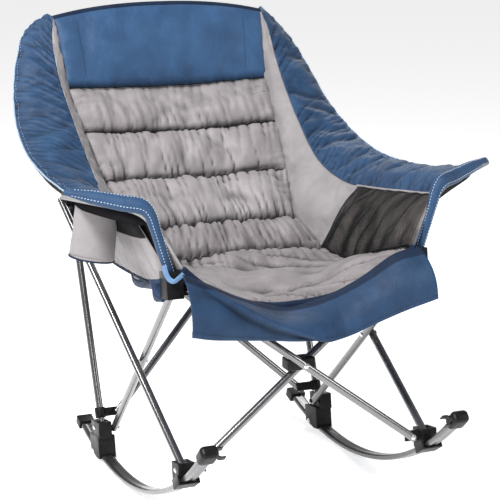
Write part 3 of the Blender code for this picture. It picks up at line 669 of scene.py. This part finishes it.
def band(word, side):
    """The stuffed blue band from the top of the back to the arm's front, in a wing part and an arm part."""
    toward = at(side * 0.10, -0.6, 1.3)
    rows, columns = 250, 36
    inner = placed(band_part(BAND_IN, 0, BAND_LAST), side)
    outer = placed(band_part(BAND_OUT, 0, BAND_LAST), side)
    grid = loft(inner, outer, rows, columns, 0.010, toward)
    out = grid_normals(grid, toward)
    front = inflate(f"band_{word}", grid, border_pins(grid), growth=0.075, pressure=4.5, cap=0.016,
                    toward=toward, stiff=6.0)
    front = grid + calmed(front - grid, 5)
    u = np.linspace(0, 1, columns)[None, :]
    run = (np.arange(rows) * 0.0042)[:, None]
    folds = gathers(u * 0.11, run + 0.02 * u, seed=31 + side, spacing=0.019, reach=0.05)
    folds = folds + gathers((1 - u) * 0.11, run, seed=37 + side, spacing=0.023, reach=0.045)
    taper = edge_taper(rows, columns, 4)
    front = front + out * ((0.0062 * folds + 0.0026 * field(grid, 30, 11 + side)) * taper)[..., None]
    # Painted shade in the band's creases.
    crease = crease_shade_of(np.sum((front - grid) * out, axis=2), passes=16, deep=0.0035)
    swell = 0.014 * np.sqrt(1 - (1 - np.minimum(from_ends(columns) / 6, 1)) ** 2)
    back_grid = grid - out * (0.003 + (swell + 0.010 * np.sin(np.pi * u[0]))[None, :])[..., None]
    split_at, = placed([spline(BAND_OUT, ARM_SPLIT)], side)
    split = int(np.argmin(np.linalg.norm(grid[:, -1] - np.array(split_at), axis=1)))
    # The arm part's back and rim are near black: painted shade under the arm.
    parts = (("wing", slice(0, split + 1), f"post_{word}", POST_FOLD, f"wing_{word}", BLUE_DARK),
             ("arm", slice(split, rows), f"seat_joint_{word}", ARM_FOLD, f"arm_panel_{word}", BLACK_TAPE_AND_SHADE))
    for label, cut, body, fold, node, lining in parts:
        pad = close_pad(f"{label}_band_{word}", front[cut], back_grid[cut], [BAND_BLUE, lining], body,
                        crease=crease[cut])
        piping = tube_along(f"{label}_piping_{word}", front[cut, -1], 0.0019, PIPING, body, 8)
        row = front[cut, -4] + out[cut, -4] * 0.0012
        thread = stitches(f"{label}_stitches_{word}", row, THREAD, body,
                          pitch=0.008, length=0.004, radius=0.0006)
        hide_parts(node)
        squash_all(fold, pad, piping, thread)


def wall(name, side, first, last, stuff, lining, body, growth):
    """The bucket's inner wall, from the sling's edge up to the band."""
    toward = at(0, -0.2, 1.0)
    low = placed([spline(EDGE, t) - Vector((0.003, 0, 0.003)) for t in wall_stations(first, last, 60)], side)
    high = placed(band_part(BAND_IN, first, last), side)
    rows, columns = int(run_along(even_line(high, 30))[-1] / 0.006), 26
    grid = loft(low, high, rows, columns, 0.008, toward)
    out = grid_normals(grid, toward)
    front = inflate(name, grid, border_pins(grid), growth, pressure=2.0, cap=0.010, toward=toward, stiff=9.0)
    front = front + out * (0.0015 * field(grid, 26, 21 + side) * edge_taper(rows, columns, 6))[..., None]
    back_grid = grid - out * (0.003 + 0.003 * edge_taper(rows, columns, 4))[..., None]
    pad = close_pad(name, front, back_grid, [stuff, lining], body)
    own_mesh(pad)


for word, side in SIDES:
    band(word, side)
    wall(f"inner_wall_{word}", side, 0, PANEL_SPLIT, TAUPE_FLAT, BLUE_DARK, f"post_{word}", 0.02)


# ---- frame: tubes, rails, moulded parts and rivets ----
BODY_OF = {node: body for body, nodes in frame["record"]["behaviour"]["bodies"].items() for node in nodes}
TUBE_R = 0.0085
RAIL_R, RAIL_LIFT = 0.8157, 0.8222
RAIL_WIDTH, RAIL_THICK = 0.030, 0.013
RAIL_FRONT, RAIL_REAR = math.radians(43.6), math.radians(17.6)
TUBES = [f"{kind}_{word}" for kind in ("back_post", "seat_brace", "side_strut") for word, _ in SIDES]
TUBES += [f"{cross}_cross_{word}_foot" for cross in ("front", "rear") for word, _ in SIDES]
MOULDED = [f"{kind}_{word}" for kind in ("rail_tail_cap", "front_saddle", "rear_foot", "front_foot",
                                         "post_bracket", "cross_ring", "side_ring", "seat_joint")
           for word, _ in SIDES]


def node_points(name):
    mesh = frame["nodes"][name].data
    points = np.empty(len(mesh.vertices) * 3)
    mesh.vertices.foreach_get("co", points)
    return points.reshape(-1, 3)


def long_axis(name):
    """A CAD node's points, their middle, and the direction that they stretch along."""
    points = node_points(name)
    middle = points.mean(axis=0)
    return points, middle, np.linalg.svd(points - middle, full_matrices=False)[2][0]


def straight_tube(name):
    """Redraws a straight tube round, open at both ends, with a plastic plug in each."""
    points, middle, axis = long_axis(name)
    reach = (points - middle) @ axis
    side = (points - middle) - np.outer(reach, axis)
    middle = middle + side[np.linalg.norm(side, axis=1) < 0.02].mean(axis=0)
    low, high = reach.min(), reach.max()
    wall_in = TUBE_R - 0.0012
    profile = [(low + 0.006, wall_in), (low, wall_in), (low, TUBE_R - 0.0004), (low + 0.0006, TUBE_R)]
    profile += [(high - 0.0006, TUBE_R), (high, TUBE_R - 0.0004), (high, wall_in), (high - 0.006, wall_in)]
    turn = Vector(axis).to_track_quat("Z", "Y").to_matrix()
    shape = bmesh.new()
    rings = [[shape.verts.new(Vector(middle) + Vector(axis) * run
                              + turn @ Vector((radius * math.cos(a), radius * math.sin(a), 0)))
              for a in circle(32)] for run, radius in profile]
    bridge(shape, rings)
    for ring in (rings[0], rings[-1]):
        shape.faces.new(ring).material_index = 1
    bmesh.ops.recalc_face_normals(shape, faces=shape.faces)
    tube = piece_of(shape, name + "_tube", [GUNMETAL, BLACK], BODY_OF[name], sharp=30)
    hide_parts(name)


def rail(word, side):
    """The flat-oval rail, with the groove rolled along its two broad faces."""
    half_w, half_t, groove = RAIL_WIDTH / 2, RAIL_THICK / 2, 0.0016
    section = []
    for a in circle(40):
        x = math.copysign(abs(math.cos(a)) ** 0.55, math.cos(a)) * half_w
        y = math.copysign(abs(math.sin(a)) ** 0.62, math.sin(a)) * half_t
        y -= math.copysign(groove * math.exp(-(x / 0.0032) ** 2), y)
        section.append((x, y))
    shape = bmesh.new()
    rings = []
    for k in range(97):
        a = -RAIL_FRONT + (RAIL_FRONT + RAIL_REAR) * k / 96
        rings.append([shape.verts.new(at(side * HALF + x, (RAIL_R + y) * math.sin(a),
                                         RAIL_LIFT - (RAIL_R + y) * math.cos(a))) for x, y in section])
    bridge(shape, rings)
    shape.faces.new(rings[0])
    shape.faces.new(rings[-1])
    bmesh.ops.recalc_face_normals(shape, faces=shape.faces)
    made = piece_of(shape, f"rail_tube_{word}", [RAIL_GREY], f"rail_{word}")
    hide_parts(f"rocker_rail_{word}")


def moulded(name):
    """A copy of a moulded part with its edges rounded."""
    shape = bmesh.new()
    shape.from_mesh(frame["nodes"][name].data)
    bmesh.ops.remove_doubles(shape, verts=shape.verts, dist=0.00002)
    bmesh.ops.dissolve_limit(shape, angle_limit=math.radians(1.5), verts=shape.verts, edges=shape.edges)
    made = piece_of(shape, name + "_moulding", [BLACK], BODY_OF[name])
    bevel = made.modifiers.new("edges", "BEVEL")
    bevel.width, bevel.segments, bevel.limit_method = 0.0048 if "tail_cap" in name else 0.0013, 3, "ANGLE"
    bevel.angle_limit = math.radians(35)
    bevel.harden_normals = True
    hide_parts(name)


CLIP_ANGLE = math.radians(43.7)    # where the clip sits on the rail's arc, ahead of the floor contact
CLIP_INNER, CLIP_OUTER = 0.0088, 0.0116
CLIP_BODY = (0.038, 0.044, 0.027)  # across the rail, along it, and through it
PRONG_STEPS, PRONG_LENGTH = 14, 0.014


def rail_clip(word, side):
    """A rounded block on the rail's front end, with two curved prongs that a leg snaps into."""
    centre = at(side * HALF, -RAIL_R * math.sin(CLIP_ANGLE), RAIL_LIFT - RAIL_R * math.cos(CLIP_ANGLE))
    turn = Matrix.Translation(centre) @ Matrix.Rotation(-CLIP_ANGLE, 4, "X")
    shape = rounded_block(CLIP_BODY, bevel=0.0095, segments=5, profile=0.5)
    hook_x = -side * (CLIP_BODY[0] / 2 + CLIP_OUTER - 0.0035)
    for up in (1, -1):
        arc = []
        for k in range(PRONG_STEPS + 1):
            turned = math.radians(8 + 118 * k / PRONG_STEPS)
            flare = 0.0022 * max(0.0, (k - 10) / 4) ** 2
            arc.append([(hook_x + side * (r + flare) * math.cos(turned), up * (r + flare) * math.sin(turned))
                        for r in (CLIP_INNER, CLIP_OUTER - 0.0006 * k / PRONG_STEPS)])
        ends = [[[shape.verts.new((x, y, z)) for x, z in pair] for pair in arc]
                for y in (-PRONG_LENGTH / 2, PRONG_LENGTH / 2)]
        for k in range(PRONG_STEPS):
            a, b, c, d = ends[0][k], ends[0][k + 1], ends[1][k], ends[1][k + 1]
            for corners in ((a[0], b[0], b[1], a[1]), (c[1], d[1], d[0], c[0]),
                            (a[0], c[0], d[0], b[0]), (a[1], b[1], d[1], c[1])):
                shape.faces.new(corners)
        for k in (0, PRONG_STEPS):
            shape.faces.new((ends[0][k][0], ends[0][k][1], ends[1][k][1], ends[1][k][0]))
    bmesh.ops.recalc_face_normals(shape, faces=shape.faces)
    bmesh.ops.transform(shape, matrix=turn, verts=shape.verts)
    made = piece_of(shape, f"rail_clip_{word}_moulding", [BLACK], f"rail_{word}", sharp=35)
    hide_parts(f"rail_clip_{word}")


for name in TUBES:
    straight_tube(name)
for word, side in SIDES:
    rail(word, side)
for name in MOULDED:
    moulded(name)
for word, side in SIDES:
    rail_clip(word, side)
# The rivets and the arm posts keep their CAD shapes and get a metal finish.
for name, node in frame["nodes"].items():
    finish = STEEL if "rivet" in name else GUNMETAL if name.startswith("arm_post") else None
    for material_slot in node.material_slots if finish else ():
        material_slot.material = finish

# The black block of the front cross, behind its fore tube and round the aft one. Its front face lies
# at the fore tube's axis, so that the tube and its rivet stand out.
BLOCK_Y = -0.3545
block_low, block_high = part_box("front_cross_rivet")
block_at = (Vector(block_low) + Vector(block_high)) / 2 + Vector((-0.006, 0, 0.004))
block_at.y = BLOCK_Y
block = rounded_block((0.062, 0.034, 0.025), bevel=0.004, segments=3, profile=0.6,
                      place=Matrix.Translation(block_at))
piece_of(block, "cross_block", [BLACK], "front_cross_left", sharp=40)


# ---- arm sleeves and horn tips ----
SLEEVE_PATH = [(0.2755, -0.371, 0.536), (0.291, -0.3715, 0.584), (0.3075, -0.372, 0.638),
               (0.319, -0.370, 0.672), (0.336, -0.364, 0.690), (0.372, -0.3495, 0.697),
               (0.425, -0.327, 0.708), (0.474, -0.306, 0.717)]
SLEEVE_R = [0.0100, 0.0100, 0.0106, 0.0128, 0.0168, 0.0166, 0.0138, 0.0070]


def arm_sleeve(word, side):
    """The blue sleeve sewn round the arm tube, from the seat joint up and out to the horn's tip."""
    joint, count = f"seat_joint_{word}", 70
    path = line(placed(SLEEVE_PATH, side), count)
    lumps = np.array([noise.noise(Vector((k * 0.33, side * 4.0, 2.0))) for k in range(count)])
    sizes = np.interp(np.linspace(0, 7, count), range(8), SLEEVE_R) * (1 + 0.05 * lumps)
    squash_all(ARM_FOLD, tube_along(f"arm_sleeve_{word}", path, sizes, BAND_BLUE, joint, 20))
    away = at(0, -1.6, 1.2)
    for label, turn in (("front", 0.75), ("inner", -0.75)):
        rows = []
        for p, t, r in zip(path[2:-2], np.gradient(path, axis=0)[2:-2], sizes[2:-2]):
            t = Vector(t).normalized()
            look = (away - Vector(p)).normalized()
            look = (look - t * look.dot(t)).normalized()
            look.rotate(Matrix.Rotation(turn * side, 3, t))
            rows.append(tuple(Vector(p) + look * (r + 0.0004)))
        squash_all(ARM_FOLD, stitches(f"sleeve_stitches_{label}_{word}", np.array(rows), THREAD, joint,
                                      pitch=0.0065, length=0.0044, radius=0.0010))


for word, side in SIDES:
    arm_sleeve(word, side)


# ---- cup holder ----
CUP_CENTRE, CUP_HIGH, CUP_R = (-0.354, -0.135), 0.112, 0.0490
CUP_BASE = 0.537
CUP_LEAN = 0.014          # how far the base hangs outward from the rim


def cup_ring(radius, height, dip=0.008):
    """Points round the pouch near its base, which hangs a little askew."""
    return np.array([at(CUP_CENTRE[0] - CUP_LEAN + radius * math.cos(a), CUP_CENTRE[1] + radius * math.sin(a),
                        CUP_BASE + height - dip * math.cos(a)) for a in (*circle(60), math.tau)])


def cup_holder():
    """A slack pouch hung from the arm: an open shell with a bound rim and a flat base."""
    rows = 30
    shape = bmesh.new()

    def ring(radius, height, soft, dip):
        made = []
        lean = CUP_LEAN * (1 - (height - CUP_BASE) / CUP_HIGH)
        for a in circle(72):
            ripple = noise.noise(Vector((math.cos(a) * 1.6, math.sin(a) * 1.6, height * 26)))
            r = radius * (1 + soft * ripple)
            squash_y = 1 - 0.04 * math.cos(2 * a)
            made.append(shape.verts.new(at(CUP_CENTRE[0] - lean + r * squash_y * math.cos(a),
                                           CUP_CENTRE[1] + r * math.sin(a), height - dip * math.cos(a))))
        return made

    outside, inside = [], []
    for k in range(rows + 1):
        f = k / rows
        round_off = math.sqrt(max(0.0, 1 - (1 - min(1, f / 0.10)) ** 2))
        radius = CUP_R * (1 - 0.07 * f) * (0.94 + 0.06 * round_off)
        soft = 0.05 * math.sin(math.pi * f)
        dip = 0.008 - 0.002 * f
        outside.append(ring(radius, CUP_BASE + CUP_HIGH * f, soft, dip))
        inside.append(ring(radius - 0.0028, CUP_BASE + 0.004 + (CUP_HIGH - 0.004) * f, soft, dip))
    bridge(shape, outside)
    bridge(shape, inside, -1)
    bridge(shape, [outside[-1], inside[-1]])
    shape.faces.new(outside[0])
    shape.faces.new(inside[0])
    bmesh.ops.recalc_face_normals(shape, faces=shape.faces)
    rim = set(outside[-1] + outside[-2] + inside[-1] + inside[-2])
    for face in shape.faces:
        if all(vert in rim for vert in face.verts):
            face.material_index = 1
    joint = "seat_joint_right"
    pouch = piece_of(shape, "cup_pouch", [TAUPE_FLAT, BLUE_DARK], joint, sharp=60)
    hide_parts("cup_holder")
    binding = tube_along("cup_base_binding", cup_ring(CUP_R * 0.95, 0.0015), 0.0024, NAVY, joint, 8)
    thread = stitches("cup_base_stitches", cup_ring(CUP_R * 0.995, 0.0095), DARK_THREAD, joint,
                      pitch=0.005, length=0.0035, radius=0.0006)
    squash_all(ARM_FOLD, pouch, binding, thread)


cup_holder()


# ---- side panels: lined cloth on the cup side, a net pocket on the other ----
for word, side, stuff, lining in (("right", -1, TAUPE_FLAT, TAUPE_FLAT), ("left", 1, NET_BACKING, BLUE)):
    wall(f"side_panel_{word}", side, PANEL_SPLIT, BAND_LAST, stuff, lining, f"seat_joint_{word}",
         0.03)

PANEL_FOOT = [(0.266, -0.356, 0.528), (0.263, -0.280, 0.501), (0.262, -0.100, 0.487), (0.262, 0.060, 0.484),
              (0.262, 0.165, 0.510)]


def outer_panel(word, side):
    """The lined outer skin of a side, from under the arm band down to a bound foot."""
    rows, columns, joint = 96, 44, f"seat_joint_{word}"
    top = [spline(BAND_IN, 4.7 + 4.06 * k / 24) + Vector((0.022, 0, -0.012)) for k in range(25)]
    top = even_line(placed(top[::-1], side), rows)
    u = np.linspace(0, 1, columns)
    grid = between(top, even_line(placed(PANEL_FOOT, side), rows), u)
    out = grid_normals(grid, at(side * 3, -0.2, 0.6))
    run = np.linspace(0, 0.6, rows)[:, None]
    folds = gathers((1 - u)[None, :] * 0.18, run + 0.04 * u[None, :], seed=61 + side, spacing=0.045, reach=0.12)
    taper = edge_taper(rows, columns, 4)
    outer = grid + out * ((0.004 + 0.0015 * folds + 0.002 * field(grid, 14, 62)) * taper)[..., None]
    panel = close_pad(f"outer_panel_{word}", outer, outer - out * 0.0016,
                      [TAUPE_SHADED, TAUPE_SHADED, BLACK_TAPE_AND_SHADE], joint)
    # Painted shade: the part just below the arm is near black, for the deep shade there.
    for face in panel.data.polygons[:2 * (rows - 1) * (columns - 1)]:
        if face.index // 2 % (columns - 1) < columns * 0.22:
            face.material_index = 2
    squash_all(ARM_FOLD, panel, tube_along(f"panel_binding_{word}", outer[:, -1], 0.0062, NAVY, joint, 10))


def wall_binding(word, side):
    """The dark-blue tape along the bottom edge of the side panel."""
    edge = [spline(EDGE, t) - Vector((0.002, 0, 0.001)) for t in wall_stations(PANEL_SPLIT, BAND_LAST, 20)]
    squash_all(ARM_FOLD, tube_along(f"side_binding_{word}", placed(edge, side), 0.0045, NAVY,
                                    f"seat_joint_{word}"))


for word, side in SIDES:
    outer_panel(word, side)
for word, side in SIDES:
    wall_binding(word, side)


def net_pocket():
    """Black netting with slack folds, in front of the left side panel."""
    rows, columns = 104, 62
    low = [spline(EDGE, t) + Vector((-0.010, 0, 0.002)) for t in wall_stations(6.5, BAND_LAST, 14)]
    high = placed(band_part(BAND_IN, 6.5, BAND_LAST))
    u = np.linspace(0, 1, columns)
    grid = between(even_line(placed(low), rows), even_line(high, rows), u)
    out = grid_normals(grid, at(0, -0.2, 1.0))
    edge = edge_taper(rows, columns, 14)
    slack = np.linspace(0, 34, rows)[:, None] - 8.0 * u[None, :] + 3.0 * field(grid, 12, 31)
    folds = 0.5 + 0.5 * np.sin(slack)
    grid = grid + out * (0.004 + 0.016 * np.sin(np.pi * u)[None, :] * edge + 0.009 * folds * edge)[..., None]
    net = new_piece("net_pocket", grid_mesh("net_pocket", grid), [MESH], "seat_joint_left", smooth=False)
    wires = net.modifiers.new("wires", "WIREFRAME")
    wires.thickness, wires.use_even_offset, wires.use_replace = 0.0012, False, True
    squash_all(ARM_FOLD, net)
    for label, row, size, stuff in (("top", grid[:, -1], 0.0026, TAUPE_FLAT),
                                    ("rear", grid[0], 0.0042, TAUPE_FLAT),
                                    ("bottom", grid[:, 0], 0.0022, BLACK_TAPE_AND_SHADE)):
        squash_all(ARM_FOLD, tube_along(f"net_tape_{label}", row, size, stuff, "seat_joint_left", 10))


net_pocket()


# ---- front flap ----
FLAP_TOP = [(-0.264, -0.404, 0.556), (-0.209, -0.385, 0.527), (-0.124, -0.362, 0.483),
            (-0.041, -0.352, 0.455), (0.015, -0.352, 0.453), (0.077, -0.365, 0.471),
            (0.140, -0.385, 0.507), (0.205, -0.402, 0.553), (0.262, -0.412, 0.566)]
FLAP_FOOT = [(-0.274, -0.470, 0.445), (-0.216, -0.458, 0.430), (-0.106, -0.440, 0.410),
             (-0.021, -0.436, 0.400), (0.067, -0.440, 0.402), (0.150, -0.456, 0.429),
             (0.265, -0.486, 0.473)]
FLAP_BOUND = 4            # cells of the flap's top edge that are bound in dark tape


def front_flap():
    """The loose cloth flap that hangs from the seat's front edge, with a hem along its foot."""
    rows, columns = 130, 34
    top, foot = even_line(placed(FLAP_TOP), rows), even_line(placed(FLAP_FOOT), rows)
    u = np.linspace(0, 1, columns)
    grid = between(top, foot, u)
    forward = (1 - (1 - u) ** 2.6) - u
    grid[:, :, 1] += (foot[:, 1] - top[:, 1])[:, None] * forward[None, :]
    out = grid_normals(grid, at(0, -3, 0.4))
    across, down = np.linspace(0, 1, rows)[:, None], u[None, :]
    past = across - 0.04 - 0.52 * down ** 0.9
    fold = np.where(past > 0, np.exp(-past / 0.13), np.exp(-(past / 0.016) ** 2))
    fold = 0.017 * fold * np.minimum(down * 3, 1)
    wave = 0.007 * (0.4 + np.sin(across * 11 + 1.3 * down)) * down
    belly = 0.003 * np.sin(np.pi * across) * np.sin(np.pi * down)
    fine = 0.0042 * field(grid, 17, 41, (1, 1, 0.45)) * np.minimum(down * 4, 1)
    height = fold + wave + belly + fine
    front = grid + out * height[..., None]
    half_thick = (0.0007 + np.where(down > 0.90, 0.0014, 0.0) * np.ones((rows, 1)))[..., None]
    normals = grid_normals(front, at(0, -3, 0.4))
    outer, inner = front + normals * half_thick, front - normals * half_thick
    # The flap's creases get painted shade.
    flap = close_pad("front_valance", outer, inner, [FLAP_BLUE, BLUE_DARK, NAVY], "seat_joint_right",
                     crease=crease_shade_of(height, passes=60, deep=0.003))
    for face in flap.data.polygons[:2 * (rows - 1) * (columns - 1)]:
        if face.index // 2 % (columns - 1) < FLAP_BOUND:
            face.material_index = 2
    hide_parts("front_flap")
    squash_all(FOLD_ACROSS, flap)
    for label, k in (("hem", int(columns * 0.885)), ("top", 2)):
        squash_all(FOLD_ACROSS, stitches(f"flap_stitches_{label}", outer[:, k] + normals[:, k] * 0.0005,
                                         DARK_THREAD, "seat_joint_right", pitch=0.0065, radius=0.0006))


front_flap()


# ---- corner pockets, webbing strap and post socks ----
def corner_tab(word, side):
    """The crumpled end of the seat cloth, stitched round the outside of the seat joint."""
    rows, columns = 30, 20
    grid = np.empty((rows, columns, 3))
    for j in range(rows):
        for k in range(columns):
            f, g = j / (rows - 1), k / (columns - 1)
            x = 0.262 + 0.046 * f - 0.010 * g
            z = 0.538 - 0.046 * g + 0.006 * math.sin(5 * f)
            y = -0.330 - 0.040 * f * (1 - f) * 2 + 0.010 * math.sin(9 * f + 4 * g) * g
            grid[j, k] = at(side * x, y, z)
    out = grid_normals(grid, at(side * 2, -0.6, 0.5))
    crumple = 0.006 * field(grid, 60, 51 + side)[..., None]
    tab = close_pad(f"corner_tab_{word}", grid + out * (0.0012 + crumple), grid - out * (0.0012 - crumple),
                    [BLUE_DARK, BLUE_DARK], f"seat_joint_{word}")


def post_sock(word):
    """The pocket of the back that the post's top end slips into."""
    points, middle, axis = long_axis(f"back_post_{word}")
    axis = axis if axis[2] > 0 else -axis
    top = middle + axis * ((points - middle) @ axis).max()
    runs = np.linspace(-0.135, 0.0015, 26)
    sizes = [0.0098 + 0.0012 * math.sin(k * 1.7) + 0.0010 * math.sin(k * 0.6) for k in range(25)] + [0.0075]
    tube_along(f"post_sock_{word}", [top + axis * r for r in runs], sizes, BLUE_DARK, f"post_{word}", 20)


# The light-blue webbing that ties the right sleeve's foot to the flap's corner.
STRAP = [(-0.296, -0.388, 0.572), (-0.296, -0.394, 0.560), (-0.290, -0.398, 0.546), (-0.281, -0.401, 0.541),
         (-0.270, -0.404, 0.549), (-0.262, -0.406, 0.556)]

for word, side in SIDES:
    corner_tab(word, side)
tube_along("webbing_strap", even_line(placed(STRAP), 40), 0.0052, WEBBING, "seat_joint_right", 12,
           flat=0.16, up=(0, 1, 0.2))
for word, side in SIDES:
    post_sock(word)


# ---- camera, floor and light ----
# The camera's place, direction and lens were fitted together with the frame's size.
CAMERA_AT = (-1.369, -3.408, 1.350)
CAMERA_AZIMUTH, CAMERA_ELEVATION = math.radians(-22.58), math.radians(13.13)
CAMERA_LENS, SENSOR = 120.2, 36.0


def camera():
    """The photograph's camera."""
    lens = bpy.data.cameras.new("camera")
    lens.lens, lens.sensor_width = CAMERA_LENS, SENSOR
    lens.clip_start, lens.clip_end = 0.1, 60
    obj = bpy.data.objects.new("camera", lens)
    obj.location = at(*CAMERA_AT)
    obj.rotation_euler = (math.pi / 2 - CAMERA_ELEVATION, 0, CAMERA_AZIMUTH)
    scene.collection.objects.link(obj)
    scene.camera = obj


def light(name, place, target, size, power, tall=None):
    lamp = bpy.data.lights.new(name, "AREA")
    lamp.shape, lamp.size, lamp.energy = "RECTANGLE" if tall else "DISK", size, power
    if tall:
        lamp.size_y = tall
    obj = bpy.data.objects.new(name, lamp)
    obj.location = place
    obj.rotation_euler = (Vector(target) - Vector(place)).to_track_quat("-Z", "Y").to_euler()
    scene.collection.objects.link(obj)


def studio():
    """A pale floor, five lamps, and a world that is white to the camera and dim to everything else."""
    floor_mesh = bpy.data.meshes.new("floor")
    floor_mesh.from_pydata([(-30, -30, 0), (30, -30, 0), (30, 30, 0), (-30, 30, 0)], [], [(0, 1, 2, 3)])
    floor = bpy.data.objects.new("floor", floor_mesh)
    scene.collection.objects.link(floor)
    made = Nodes("pale_floor")
    made.set({"Base Color": (0.93, 0.93, 0.93, 1), "Emission Color": (1, 1, 1, 1), "Emission Strength": 0.62,
              "Roughness": 0.9, "Specular IOR Level": 0.1})
    floor_mesh.materials.append(made.material)
    world = bpy.data.worlds.new("studio")
    world.use_nodes = True
    tree = world.node_tree
    soft, seen = tree.nodes["Background"], tree.nodes.new("ShaderNodeBackground")
    soft.inputs["Color"].default_value = seen.inputs["Color"].default_value = (1, 1, 1, 1)
    soft.inputs["Strength"].default_value, seen.inputs["Strength"].default_value = 0.24, 1.0
    mix, path = tree.nodes.new("ShaderNodeMixShader"), tree.nodes.new("ShaderNodeLightPath")
    tree.links.new(path.outputs["Is Camera Ray"], mix.inputs["Fac"])
    tree.links.new(soft.outputs["Background"], mix.inputs[1])
    tree.links.new(seen.outputs["Background"], mix.inputs[2])
    tree.links.new(mix.outputs["Shader"], tree.nodes["World Output"].inputs["Surface"])
    scene.world = world
    scene.view_settings.view_transform = "Standard"
    light("key", (-2.3, -1.7, 3.4), (0, 0, 0.6), 0.9, 215)
    light("strip", (-1.7, -3.3, 1.5), (0, 0, 0.5), 0.22, 26, tall=3.0)
    light("fill", (2.4, -2.0, 1.8), (0, 0, 0.6), 1.2, 26)
    light("rim", (-2.5, 1.4, 3.0), (0, 0, 0.6), 0.9, 52)
    light("back", (1.6, 2.4, 2.6), (0, 0, 0.7), 1.4, 30)


camera()
studio()
